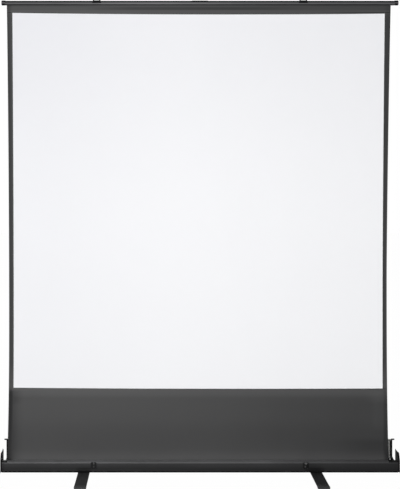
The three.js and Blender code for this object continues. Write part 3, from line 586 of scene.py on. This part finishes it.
def plated_steel(name, dark, light, roughness):
    """Zinc-plated or bare spring steel: a cloudy, slightly uneven shine."""
    finish = Finish(name, {"Metallic": 0.9})
    clouds = finish.cloudy(finish.place, 60)
    scratches = finish.cloudy(finish.stretched(1, 30, 30), 60, 4)
    return finish.done(
        base_color=finish.between(clouds, dark, light),
        roughness=clouds * 0.15 + scratches * 0.1 + (roughness - 0.12),
        normal=finish.relief(scratches, 0.00005, 0.4, rounding=0.0005))


zinc_plate = plated_steel(
    "zinc_plate", (0.42, 0.42, 0.43), (0.60, 0.60, 0.61), roughness=0.38)
black_screw = plated_steel(
    "black_screw", (0.02, 0.02, 0.021), (0.04, 0.04, 0.042), roughness=0.45)
screw_radius = 0.0032
screw_rise = 0.0004
screw_spacing = 0.026
screw_height = 0.030

for side, outer in sides.items():
    low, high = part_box(f"{side}_end_plate")
    face_x = high.x if outer > 0 else low.x
    for number, y in enumerate((-screw_spacing, screw_spacing), 1):
        place = (face_x - outer * (sunk_depth + screw_rise), y, screw_height)
        screw = screw_head(f"{side}_end_screw_{number}", place, outer, screw_radius, screw_rise)
        finished(screw, "case", "zinc_steel", black_screw)


# Inner end plates: black moulded walls inside the case that hold the roller's ends.
# Their top edge climbs towards the rear.
def moulded(node, name, body, slot, material, radius, steps=2):
    """A finished copy of a node whose shape needs nothing more."""
    finished(moulded_copy(node, name, radius, steps), body, slot, material, node)


for side in sides:
    moulded(f"{side}_inner_plate", f"{side}_inner_moulding", "case",
            "black_plastic", black_moulding, radius=0.0006)


# Feet: flat steel bars, powder coated black, that turn under the case on one bolt each, with
# a plastic washer between. A moulded shoe is pushed on each end of a bar.
def coated_steel(name, colour, roughness, specular):
    """Black powder coat: a fine orange peel, a little paler in cloudy patches."""
    finish = Finish(name, {"Metallic": 0, "Specular IOR Level": specular})
    peel = finish.cloudy(finish.place, 900, 2)
    clouds = finish.cloudy(finish.place, 9, 5)
    return finish.done(
        base_color=finish.between(clouds, [0.7 * part for part in colour], colour),
        roughness=peel * 0.1 + clouds * 0.1 + (roughness - 0.1),
        normal=finish.relief(peel, 0.00008, 0.6, rounding=0.0006))


black_coat = coated_steel("black_coat", (0.026, 0.026, 0.0268), roughness=0.5, specular=0.2)
# Painted light: the left foot's coat and shoes are paler than the right's, as more light falls on the
# left.
foot_colour_as_lit = {"left": (0.035, 0.035, 0.036), "right": (0.0215, 0.0215, 0.0222)}
foot_coat = {
    side: coated_steel(f"{side}_foot_coat", foot_colour_as_lit[side], roughness=0.5, specular=0.2)
    for side in sides}
shoe_colour_as_lit = {"left": (0.074, 0.074, 0.0755), "right": (0.058, 0.058, 0.0592)}
shoe_moulding = {
    side: moulded_plastic(f"{side}_shoe_moulding", shoe_colour_as_lit[side], roughness=0.5)
    for side in sides}
shoe_corner = 0.009
shoe_wall = 0.0017
shoe_panel = 0.0055
shoe_panel_depth = 0.0005

for side in sides:
    moulded(f"{side}_foot_bar", f"{side}_foot_strip", f"{side}_foot",
            "black_steel", foot_coat[side], radius=0.0006)

    for end, outwards in (("front", -1), ("rear", 1)):
        node = f"{side}_foot_{end}_cap"
        low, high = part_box(node)
        tip_y, mouth_y = (low.y, high.y) if outwards < 0 else (high.y, low.y)
        shoe = block(f"{side}_{end}_shoe", low, high)
        pick("EDGE", lambda at, along: abs(along.z) > 0.9 and abs(at.y - tip_y) < close)
        bpy.ops.mesh.bevel(offset=shoe_corner, segments=6, affect="EDGES")
        pick("FACE", lambda at, normal: abs(at.y - mouth_y) < close)
        bpy.ops.mesh.inset(thickness=shoe_wall)
        extrude(y=outwards * (abs(tip_y - mouth_y) - shoe_wall - shoe_corner / 2))
        pick("FACE", lambda at, normal: normal.z > 0.9 and at.z > high.z - close)
        sink(shoe_panel, shoe_panel_depth)
        edges_rounded(shoe, radius=0.0009, steps=3)
        finished(shoe, f"{side}_foot", "black_plastic", shoe_moulding[side], node)

    moulded(f"{side}_foot_washer", f"{side}_foot_bearing", "case",
            "black_plastic", black_moulding, radius=0.0003)
    for part in ("bolt", "nut"):
        moulded(f"{side}_foot_{part}", f"{side}_swivel_{part}", "case",
                "zinc_steel", zinc_plate, radius=0.0003)


# Roller: a drawn aluminium tube with a moulded plug in each end. The left plug turns in the
# inner plate; the right one turns on a fixed shaft that carries the torsion spring.
def recoated(node, material):
    """Gives a CAD node that shows as it is its material."""
    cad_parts[node].data.materials.clear()
    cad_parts[node].data.materials.append(material)


bare_aluminium = drawn_aluminium(
    "bare_aluminium", (0.60, 0.60, 0.585), (0.72, 0.72, 0.70),
    roughness=0.42, metallic=0.15, specular=0.5)
spring_steel = plated_steel(
    "spring_steel", (0.22, 0.22, 0.23), (0.38, 0.38, 0.39), roughness=0.35)
recoated("roller_tube", bare_aluminium)
recoated("roller_left_plug", black_moulding)
recoated("roller_right_plug", black_moulding)
recoated("spring_shaft", zinc_plate)
recoated("roller_spring", spring_steel)


# Cloth on the roller: the last two turns of the screen's own fabric, which stay wound
# when the screen is pulled right up.
def woven(name, dark, light, roughness, specular, sheen, bands, patches):
    """Coated screen fabric: a plain weave under the coating, and a faintly cloudy surface.
    Each band is a height where a paler or darker stretch starts, one where it ends, how far
    it fades out and how much paler it is. A patch is a band that also has a start and an end
    across the cloth, between which it grows to its full strength. Bands and patches are
    painted light and shade."""
    finish = Finish(name, {
        "Metallic": 0, "Specular IOR Level": specular, "Sheen Weight": sheen,
        "Sheen Roughness": 0.5})
    weave = {"Vector": finish.place, "Scale": 320, "Distortion": 0.4}
    across = finish.node("TexWave", {"wave_type": "BANDS", "bands_direction": "X"}, weave)
    along = finish.node("TexWave", {"wave_type": "BANDS", "bands_direction": "Z"}, weave)
    clouds = finish.cloudy(finish.place, 3.5, 4)
    fuzz = finish.cloudy(finish.place, 420, 3)
    threads = across * along
    shade = clouds * 0.7 + fuzz * 0.3
    for start, end, edge, amount in bands:
        shade = finish.band(start, end, edge) * amount + shade
    for left, right, start, end, edge, amount in patches:
        across_cloth = finish.rising(left, right, "X")
        shade = finish.band(start, end, edge) * across_cloth * amount + shade
    return finish.done(
        base_color=finish.between(shade, dark, light),
        roughness=clouds * 0.08 + (roughness - 0.04),
        normal=finish.relief(threads + fuzz * 0.5, 0.00005, 0.35))


black_fabric = woven(
    "black_fabric", (0.0205, 0.0205, 0.021), (0.0302, 0.0302, 0.0307),
    roughness=0.47, specular=0.32, sheen=0.05,
    # Painted light and shade by height: lighter near the case, darker in the middle of the drop,
    # lighter just below and just above the white area.
    bands=(
        (-0.10, 0.085, 0.035, 2.2),
        (0.115, 0.235, 0.050, -0.62),
        (0.392, 0.500, 0.045, 1.9),
        (0.370, 0.430, 0.012, 0.8),
        (2.215, 2.2340, 0.003, 1.0)),
    patches=(
        # Painted light and shade below the white area, mostly darker towards the right
        (-0.10, 0.75, -0.20, 0.37, 0.05, -0.85),
        (0.78, 0.86, 0.345, 0.395, 0.015, 0.8),
        (0.55, 0.86, 0.07, 0.16, 0.02, -1.1),
        (-0.70, -0.83, 0.352, 0.400, 0.010, -0.35),
        (0.82, 0.85, 0.215, 0.365, 0.020, 0.45),
        (0.25, 0.50, 0.4030, 0.4100, 0.0010, -1.9),
        # Side borders: painted shade towards the right, along the rolled edges and at the lower left
        # corner
        (0.70, 0.90, 0.45, 2.20, 0.05, -0.55),
        (-0.872, -0.930, -0.20, 0.400, 0.010, -2.6),
        (0.880, 0.906, -0.20, 0.400, 0.010, -1.9),
        (-0.885, -0.915, -0.10, 0.088, 0.018, -1.6),
        (-0.845, -0.889, -0.20, 0.400, 0.010, -0.8),
        (-0.845, -0.889, 0.335, 0.400, 0.012, -0.8),
        # Between the white area and the bar: painted shadow under the bar, and a painted dark line
        # along the white area's top edge at both ends
        (-0.60, -0.30, 2.2362, 2.2492, 0.0012, -2.3),
        (0.15, 0.60, 2.2362, 2.2492, 0.0012, 2.1),
        (-0.60, -0.85, 2.2214, 2.2254, 0.0005, -3.2),
        (0.50, 0.80, 2.2214, 2.2254, 0.0005, -3.4),
        (-0.45, -0.62, 2.2546, 2.2600, 0.0006, -1.2)))


def sheet_mesh(name, rows):
    """A sheet through rows of points, all rows having as many points."""
    points = [point for row in rows for point in row]
    width = len(rows[0])
    faces = [
        (line * width + step, line * width + step + 1,
         (line + 1) * width + step + 1, (line + 1) * width + step)
        for line in range(len(rows) - 1) for step in range(width - 1)]
    mesh = bpy.data.meshes.new(name)
    mesh.from_pydata(points, [], faces)
    return linked(name, mesh)


fabric_thickness = 0.00035
wound_thickness = 0.8 * fabric_thickness
winding_low, winding_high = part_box("cloth_winding")
winding_middle = (winding_low + winding_high) / 2
winding_outer = (winding_high.z - winding_low.z) / 2
winding_turns = 2
winding_steps = 48
winding_inner = winding_outer - winding_turns * fabric_thickness


def winding_row(step):
    """The points across the cloth at one step of its spiral, which ends at the front."""
    share = step / (winding_steps * winding_turns)
    angle = math.pi + 2 * math.pi * winding_turns * (1 - share)
    radius = winding_inner + (winding_outer - winding_inner) * share
    y = winding_middle.y + radius * math.cos(angle)
    z = winding_middle.z + radius * math.sin(angle)
    return [(winding_low.x, y, z), (0, y, z), (winding_high.x, y, z)]


winding = sheet_mesh("wound_cloth", [
    winding_row(step) for step in range(winding_steps * winding_turns + 1)])
thickened(winding, wound_thickness)
finished(winding, "roller", "black_cloth", black_fabric, "cloth_winding")


# Base brackets and pins: angle plates on the case's floor, each with a stout shouldered pin
# that carries the foot of one arm.
for side in sides:
    moulded(f"{side}_base_bracket", f"{side}_arm_foot", "case",
            "black_steel", black_coat, radius=0.0004)
    moulded(f"{side}_base_pin", f"{side}_foot_pivot", "case",
            "zinc_steel", zinc_plate, radius=0.0006, steps=3)


# Arms: four flat aluminium links, anodised black, with a shallow channel milled along both
# faces. Each pair folds at an elbow rivet.
black_link = drawn_aluminium(
    "black_link", (0.016, 0.016, 0.017), (0.034, 0.034, 0.036),
    roughness=0.4, metallic=0.3, specular=0.4)
along_y = (quarter, 0, 0)
arm_half_width = 0.011
arm_thickness = 0.0045
arm_length = 1.150
arm_angle = math.radians(76.9)
arm_turns = {"left": (-arm_angle, arm_angle - math.pi), "right": (arm_angle - math.pi, -arm_angle)}
channel_rim = 0.0035
channel_depth = 0.0006
joint_pad = 0.016
pin_holes = {"lower": (0.0053, 0.0043), "upper": (0.0043, 0.0043)}
drill_length = 0.02


def folding_arm(side, level, pin, turn):
    """A link modelled along +X from its first pivot, then turned about that pivot's pin."""
    arm = rod(f"{side}_{level}_link_bar", 48, arm_half_width, arm_thickness,
              (0, arm_thickness / 2, 0), along_y)
    pick("VERT", lambda at, normal: at.x > close)
    bpy.ops.transform.translate(value=(arm_length, 0, 0))
    for x in (joint_pad, arm_length - joint_pad):
        cut_across(x)
    pick("FACE", lambda at, normal: abs(normal.y) > 0.9 and joint_pad < at.x < arm_length - joint_pad)
    sink(channel_rim, channel_depth, apart=True)
    for x, radius in zip((0, arm_length), pin_holes[level]):
        nothing_selected()
        bpy.ops.mesh.primitive_cylinder_add(
            vertices=32, radius=radius, depth=drill_length,
            location=(x, arm_thickness / 2, 0), rotation=along_y)
        cut_away(arm, bpy.context.object)
    edges_rounded(arm, radius=0.0004)
    low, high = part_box(f"{side}_{pin}_pin")
    node = f"{side}_{level}_arm"
    arm.rotation_euler.y = turn
    arm.location = ((low.x + high.x) / 2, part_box(node)[0].y, (low.z + high.z) / 2)
    bpy.ops.object.transform_apply(location=True, rotation=True, scale=True)
    finished(arm, f"{side}_{level}_link", "black_arms", black_link, node)


for side in sides:
    folding_arm(side, "lower", "base", arm_turns[side][0])
    folding_arm(side, "upper", "elbow", arm_turns[side][1])
    moulded(f"{side}_elbow_pin", f"{side}_elbow_rivet", f"{side}_lower_link",
            "zinc_steel", zinc_plate, radius=0.0007, steps=3)


# Top bar: a rounded aluminium tube, anodised black, with a dark strip let into its front and
# a slot in its underside that grips the cloth's hem. A turned knob closes each end.
def second_material(piece, material, wanted):
    """Gives the faces for which wanted(place, direction) is true another material."""
    piece.data.materials.append(material)
    for face in piece.data.polygons:
        if wanted(face.center, face.normal):
            face.material_index = 1


satin_black = drawn_aluminium(
    "satin_black", (0.022, 0.022, 0.023), (0.044, 0.044, 0.046),
    roughness=0.42, metallic=0.1, specular=0.2,
    # Painted light on the bar's front: a painted highlight band, a painted dark band below it and a
    # painted shadow over the left part.
    painted_bands=((2.2626, 2.2670, 0.0006, 3.0), (2.2665, 2.2725, 0.0008, 0.8),
            (2.2500, 2.2620, 0.0005, -1.2)),
    painted_shadows=((-0.97, -0.10, 2.2622, 2.2608, -0.6),))
tube_corner = 0.0026
inlay_height = 0.0056
inlay_depth = 0.0003
inlay_end = 0.0004
slot_inset = 0.0062
slot_depth = 0.0025
end_wall = 0.0015
end_depth = 0.0145

bar_low, bar_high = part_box("top_bar")
bar_sink = 0.0004
bar_high.z -= bar_sink
bar_middle = (bar_low + bar_high) / 2
inlay_foot = bar_high.z - inlay_height


def in_inlay(at, normal):
    return normal.y < -0.2 and at.z > inlay_foot and abs(at.x) < bar_high.x - inlay_end


bar = block("pull_bar", bar_low, bar_high)
pick("EDGE", lambda at, along: lengthwise(along))
bpy.ops.mesh.bevel(offset=tube_corner, segments=5, affect="EDGES")
pick("FACE", lambda at, normal: normal.z < -square_on)
bpy.ops.mesh.inset(thickness=slot_inset)
extrude(z=slot_depth)
for sign in (-1, 1):
    pick("FACE", lambda at, normal: normal.x * sign > square_on and abs(at.x) > bar_high.x - close)
    bpy.ops.mesh.inset(thickness=end_wall)
    extrude(x=-sign * end_depth)
edges_rounded(bar, radius=0.0003)
all_picked()
bpy.ops.mesh.bisect(plane_co=(0, 0, inlay_foot), plane_no=(0, 0, 1))
pick("FACE", in_inlay)
bpy.ops.mesh.inset(thickness=inlay_depth, depth=-inlay_depth)
finished(bar, "bar", "black_case", satin_black, "top_bar")
second_material(bar, black_moulding, in_inlay)

knob_black = drawn_aluminium(
    "knob_black", (0.003, 0.003, 0.0032), (0.012, 0.012, 0.0125),
    roughness=0.42, metallic=0.0, specular=0.04,
    # Painted highlight band round the knobs, fainter on the right knob as painted shade.
    painted_bands=((2.2672, 2.2718, 0.0008, 10.5), (2.2645, 2.2672, 0.0008, 6.5)), right_end_shade=0.35)
knob_gap = 0.0003
knob_rise = 0.0010
knob_swell = 0.0004
knob_spigot = 0.0033
knob_spigot_length = 0.0142
knob_dish = 0.0035
knob_dish_depth = 0.0012

for side, outer in sides.items():
    low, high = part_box(f"{side}_bar_knob")
    radius = (high.z - low.z) / 2 + knob_swell
    start = bar_high.x + knob_gap
    end = max(abs(low.x), abs(high.x))
    knob = rod(f"{side}_grip_knob", 48, radius, end - start,
               (outer * (start + end) / 2, bar_middle.y, bar_middle.z + knob_rise), along_x)
    pick("FACE", lambda at, normal: normal.x * outer < -square_on)
    bpy.ops.mesh.inset(thickness=knob_spigot)
    extrude(x=-outer * knob_spigot_length)
    pick("FACE", lambda at, normal: normal.x * outer > square_on)
    sink(knob_dish, knob_dish_depth)
    edges_rounded(knob, radius=0.0012, steps=4)
    finished(knob, "bar", "black_plastic", knob_black, f"{side}_bar_knob")


# Bar brackets: pressed steel saddles over the bar with two upturned ears, and a yoke at the
# rear that takes the upper arm's rivet.
def seated():
    """Lowers what lies on the bar's top face in the CAD by as much as that face is lower here."""
    cad_top = bar_high.z + bar_sink
    pick("VERT", lambda at, normal: cad_top - seat_below < at.z < cad_top + seat_above)
    bpy.ops.transform.translate(value=(0, 0, -bar_sink))


jet_coat = coated_steel("jet_coat", (0.0046, 0.0046, 0.0049), roughness=0.6, specular=0.08)
seat_below = 0.001
seat_above = 0.004
skirt_half = 0.0213
skirt_sheet = 0.0016
skirt_drop = 0.0112
saddle_drop = 0.0029

for side in sides:
    saddle = moulded_copy(f"{side}_bar_bracket", f"{side}_bar_saddle", radius=0.0004)
    seated()
    finished(saddle, "bar", "black_steel", jet_coat, f"{side}_bar_bracket")
    low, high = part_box(f"{side}_bar_bracket")
    middle_x = (low.x + high.x) / 2
    skirt = block(f"{side}_saddle_skirt",
                  (middle_x - skirt_half, low.y, bar_high.z - skirt_drop),
                  (middle_x + skirt_half, low.y + skirt_sheet, bar_high.z - saddle_drop))
    edges_rounded(skirt, radius=0.0006, steps=3)
    finished(skirt, "bar", "black_steel", jet_coat)
    moulded(f"{side}_top_pin", f"{side}_top_rivet", "bar",
            "zinc_steel", zinc_plate, radius=0.0006, steps=3)


# Pull handle: a bent plate over the bar's middle with two lugs, and a wire bail that hangs
# behind the bar with a moulded sleeve for the fingers.
handle = moulded_copy("handle_base", "handle_plate", radius=0.0003)
seated()
finished(handle, "bar", "black_steel", jet_coat, "handle_base")

bail_low, bail_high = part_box("handle_bail")
wire_radius = 0.002
bail_y = (bail_low.y + bail_high.y) / 2
pivot_z = bail_high.z - wire_radius
hang_z = bail_low.z + wire_radius
leg_x = 0.0322
bend_radius = 0.006
small_bend = 0.0025
bend_steps = 8


def bend(x, z, angle):
    """Sweeps the selected end of the wire round that point."""
    bpy.ops.mesh.spin(steps=bend_steps, angle=angle, center=(x, bail_y, z), axis=(0, 1, 0))


nothing_selected()
bpy.ops.mesh.primitive_circle_add(
    vertices=16, radius=wire_radius, fill_type="NGON",
    location=(bail_low.x, bail_y, pivot_z), rotation=along_x)
bail = settled("bail_wire")
all_picked()
extrude(x=-leg_x - small_bend - bail_low.x)
bend(-leg_x - small_bend, pivot_z - small_bend, quarter)
extrude(z=hang_z + bend_radius - pivot_z + small_bend)
bend(-leg_x + bend_radius, hang_z + bend_radius, -quarter)
extrude(x=2 * (leg_x - bend_radius))
bend(leg_x - bend_radius, hang_z + bend_radius, -quarter)
extrude(z=pivot_z - small_bend - hang_z - bend_radius)
bend(leg_x + small_bend, pivot_z - small_bend, quarter)
extrude(x=bail_high.x - leg_x - small_bend)
all_picked()
bpy.ops.mesh.remove_doubles(threshold=0.00001)
bpy.ops.mesh.normals_make_consistent(inside=False)
finished(bail, "handle", "black_steel", jet_coat, "handle_bail")

sleeve_radius = 0.0031
sleeve_half = 0.022
sleeve_ribs = 9
rib_depth = 0.0003
groove = sleeve_half / sleeve_ribs
sleeve = rod("handle_sleeve", 32, sleeve_radius, 2 * sleeve_half, (0, bail_y, hang_z), along_x)
for rib in range(1, 2 * sleeve_ribs):
    cut_across(-sleeve_half + sleeve_half * rib / sleeve_ribs)
pick("FACE", lambda at, normal: abs(normal.x) < 0.1
     and int((at.x + sleeve_half) / groove) % 2 == 1)
bpy.ops.mesh.inset(thickness=rib_depth, depth=-rib_depth)
edges_rounded(sleeve, radius=0.0002)
finished(sleeve, "handle", "black_plastic", black_moulding)


# Screen cloth: one black fabric sheet from the roller to the slot of the bar. Its own
# tension draws it in at the waist and rolls its side edges back. Its short foot at the
# roller keeps its place while the rest goes down with the bar.
cloth_low, cloth_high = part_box("screen_cloth")
cloth_y = (cloth_low.y + cloth_high.y) / 2
hem_tuck = 0.0018
cloth_top = bar_low.z + hem_tuck
hem_widths = {
    "left": {"top": 0.9333, "waist": 0.9232, "bottom": 0.9315},
    "right": {"top": 0.9226, "waist": 0.9057, "bottom": 0.9131}}
border_widths = {
    "left": {"top": 0.0275, "waist": 0.0241, "bottom": 0.0280, "flat": 0.0280},
    "right": {"top": 0.0300, "waist": 0.0236, "bottom": 0.0305, "flat": 0.0305}}
waists = {
    "left": {"height": 0.690, "above": 2.0, "below": 2.0},
    "right": {"height": 0.955, "above": 1.3, "below": 2.5}}
least_roll = 0.05
waves = ((0.0009, 5.1, 1.3, 0.0), (0.0006, 2.3, -3.7, 0.8))
middle_steps = 60
border_steps = 6


def along_height(widths, side, z):
    """A width that grows with a power of the distance from the side's waist."""
    waist = waists[side]
    if z > waist["height"]:
        share = (z - waist["height"]) / (cloth_top - waist["height"])
        return widths["waist"] + (widths["top"] - widths["waist"]) * share ** waist["above"]
    share = (waist["height"] - z) / (waist["height"] - cloth_low.z)
    return widths["waist"] + (widths["bottom"] - widths["waist"]) * share ** waist["below"]


def ripple(x, z):
    """Slow waves of the hanging cloth, which fade out at the roller and at the bar."""
    hold = math.sin(math.pi * min(1, max(0, (z - cloth_low.z) / (cloth_top - cloth_low.z))))
    return hold * sum(
        height * math.sin(across * x + up * z + start) for height, across, up, start in waves)


def border_roll(side, z):
    """How far out a side border starts, its flat width and the angle that it curls through."""
    flat = border_widths[side]["flat"]
    shown = along_height(border_widths[side], side, z)
    # An arc through an angle a shows about 1 - a * a / 6 of its length.
    angle = max(math.sqrt(max(0.0, 6 * (1 - shown / flat))), least_roll)
    return along_height(hem_widths[side], side, z) - flat * math.sin(angle) / angle, flat, angle


def border_points(side, z):
    """Points of one rolled side border, from the white area outwards."""
    inner, flat, angle = border_roll(side, z)
    y = cloth_y + ripple(sides[side] * inner, z)
    points = []
    for step in range(1, border_steps + 1):
        turn = angle * step / border_steps
        x = sides[side] * (inner + flat / angle * math.sin(turn))
        points.append((x, y + flat / angle * (1 - math.cos(turn)), z))
    return points


def cloth_row(z):
    """Points across the whole cloth at one height, from the left to the right."""
    left_inner = -border_roll("left", z)[0]
    right_inner = border_roll("right", z)[0]
    middle = []
    for step in range(middle_steps + 1):
        x = left_inner + (right_inner - left_inner) * step / middle_steps
        middle.append((x, cloth_y + ripple(x, z), z))
    return border_points("left", z)[::-1] + middle + border_points("right", z)


def cloth_between(name, start, end, lines):
    heights = [start + (end - start) * line / lines for line in range(lines + 1)]
    piece = sheet_mesh(name, [cloth_row(z) for z in heights])
    thickened(piece, fabric_thickness)
    return piece


fold_height = 0.056
foot_lines = 4
cloth_lines = 110
cloth_foot = cloth_between("cloth_foot_at_roller", cloth_low.z, fold_height, foot_lines)
finished(cloth_foot, "case", "black_cloth", black_fabric)
cloth = cloth_between("black_screen_cloth", fold_height, cloth_top, cloth_lines)
finished(cloth, "case", "black_cloth", black_fabric, "screen_cloth")
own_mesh(cloth)


# Picture area: the white projection coating on the front of the cloth, inside the black
# borders. The stretched cloth bows its top and bottom edges a little.
white_coating = woven(
    "white_coating", (0.862, 0.865, 0.885), (0.893, 0.896, 0.913),
    roughness=0.6, specular=0.2, sheen=0.0,
    # Painted shade: the white is darker towards the top and towards the left.
    bands=((1.7235, 3.0, 0.5525, -1.96),),
    patches=((0.024, -0.913, -0.20, 3.0, 0.05, -1.68),))
coat_low, coat_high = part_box("screen_surface")
coat_y = (coat_low.y + coat_high.y) / 2
coat_top = 2.2213
coat_bottom = 0.4117
coat_thickness = 0.0003
top_bow = (0.0075, 0.15)
bottom_bow = (0.005, 0.3)


def bowed(x, half, bow):
    """How far a line that bows in the middle hangs below its ends' height."""
    depth, middle = bow
    return depth * (1 - ((x / half - middle) / (1 + middle)) ** 2)


coat_lines = 90
coat_columns = 60
coat_rows = []
for line in range(coat_lines + 1):
    share = line / coat_lines
    level = coat_bottom + (coat_top - coat_bottom) * share
    left_x = -border_roll("left", level)[0]
    right_x = border_roll("right", level)[0]
    row = []
    for step in range(coat_columns + 1):
        x = left_x + (right_x - left_x) * step / coat_columns
        drop = bowed(x, right_x, top_bow) * share + bowed(x, right_x, bottom_bow) * (1 - share)
        row.append((x, coat_y + ripple(x, level - drop), level - drop))
    coat_rows.append(row)
coat = sheet_mesh("white_picture_area", coat_rows)
thickened(coat, coat_thickness)
finished(coat, "case", "white_cloth", white_coating, "screen_surface")
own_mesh(coat)


# Lid: a bent aluminium channel, black outside and bare inside, that stands open behind the
# cloth, its hollow to the front. A moulded cap with a small tab closes each end and swings
# on a steel pin.
lid_low, lid_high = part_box("lid_panel")
lid_sheet = 0.0016
lid_slope = 0.0205
lid_skirt = 0.023
lid_floor = lid_low.z + 0.010
lid_shoulder = lid_high.z - lid_slope
lid_bend = 0.0035
lid = plate("lid_channel", (lid_low.x, lid_high.y, lid_floor), (lid_high.x, lid_high.y, lid_shoulder))
pick("EDGE", lambda at, along: lengthwise(along) and at.z < lid_floor + close)
extrude(y=-lid_skirt)
extrude(z=lid_low.z - lid_floor)
pick("EDGE", lambda at, along: lengthwise(along) and at.z > lid_shoulder - close)
extrude(y=lid_low.y - lid_high.y, z=lid_slope)
outside_out(lambda at, normal: at.y > lid_high.y - close and normal.y < 0)
pick("EDGE", lambda at, along: lengthwise(along) and at.y > lid_high.y - close)
bpy.ops.mesh.bevel(offset=lid_bend, segments=5, affect="EDGES")
thickened(lid, lid_sheet)
edges_rounded(lid, radius=0.0003)
finished(lid, "lid", "satin_lid", bare_aluminium, "lid_panel")
second_material(lid, satin_black, lambda at, normal: normal.y > 0.3 or (
    normal.z < -0.9 and at.z < lid_floor + close))

for side in sides:
    moulded(f"{side}_lid_cap", f"{side}_lid_end", "lid",
            "black_plastic", black_moulding, radius=0.0004)
    recoated(f"{side}_lid_pin", zinc_plate)


# Clasps: pressed steel catches on the case's front. The lever turns on a pin in the plate's
# lugs, and its forked top hooks over the closed lid. A facet and a rib are pressed into its
# front; the facet's paler colour is a painted highlight.
rib_half_width = 0.0035
rib_rise = 0.0006
rib_foot = 0.006
rib_top = 0.015
rib_shift = {"left": 0.0016, "right": -0.0035}
facet_radius = {"left": 0.0060, "right": 0.0105}
facet_flatness = {"left": 1.0, "right": 0.68}
facet_shift = {"left": 0.0016, "right": 0.0}
facet_z = {"left": 0.0530, "right": 0.0545}
facet_depth = 0.0008
facet_slope = 0.0012
facet_rise = 0.0003
hook_start = 0.0565
hook_drop = 0.0036
# Painted light: the left clasp's coat is paler than the right's.
clasp_coat = {
    "left": coated_steel(
        "left_clasp_coat", (0.0125, 0.0125, 0.0129), roughness=0.6, specular=0.08),
    "right": jet_coat}
# Painted highlight: each facet is paler than the coat, the right one more so, with a painted
# highlight band on it.
facet_dark = (0.012, 0.012, 0.0122)
lit_facet_black = {
    "left": drawn_aluminium(
        "left_lit_facet_black", facet_dark, (0.074, 0.074, 0.074),
        roughness=0.4, metallic=0.1, specular=0.2),
    "right": drawn_aluminium(
        "right_lit_facet_black", facet_dark, (0.12, 0.12, 0.12),
        roughness=0.4, metallic=0.1, specular=0.2,
        painted_bands=((0.0480, 0.0600, 0.0010, 0.1),))}

for side in sides:
    moulded(f"{side}_clasp_plate", f"{side}_catch_plate", "case",
            "black_steel", clasp_coat[side], radius=0.0003)
    lever = moulded_copy(f"{side}_clasp_lever", f"{side}_catch_lever", radius=0.0003)
    pick("VERT", lambda at, normal: at.z > hook_start)
    bpy.ops.transform.translate(value=(0, 0, -hook_drop))
    finished(lever, f"{side}_clasp", "black_steel", clasp_coat[side], f"{side}_clasp_lever")
    low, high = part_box(f"{side}_clasp_lever")
    middle_x = (low.x + high.x) / 2

    place = (middle_x + facet_shift[side], low.y - facet_depth / 2, facet_z[side])
    facet = rod(f"{side}_catch_facet", 3, facet_radius[side], facet_depth, place, (-quarter, 0, 0))
    all_picked()
    bpy.ops.transform.resize(value=(1, 1, facet_flatness[side]))
    pick("FACE", lambda at, normal: normal.y < -square_on)
    bpy.ops.mesh.inset(thickness=facet_slope, depth=facet_rise)
    edges_rounded(facet, radius=0.0002)
    finished(facet, f"{side}_clasp", "black_steel", lit_facet_black[side])

    rib_x = middle_x + rib_shift[side]
    rib = block(f"{side}_catch_rib", (rib_x - rib_half_width, low.y - rib_rise, low.z + rib_foot),
                (rib_x + rib_half_width, low.y + rib_rise, low.z + rib_top))
    edges_rounded(rib, radius=0.0008, steps=3)
    finished(rib, f"{side}_clasp", "black_steel", black_coat)
    recoated(f"{side}_clasp_pin", zinc_plate)


# Sizes: the finished model's box.
low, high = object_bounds()
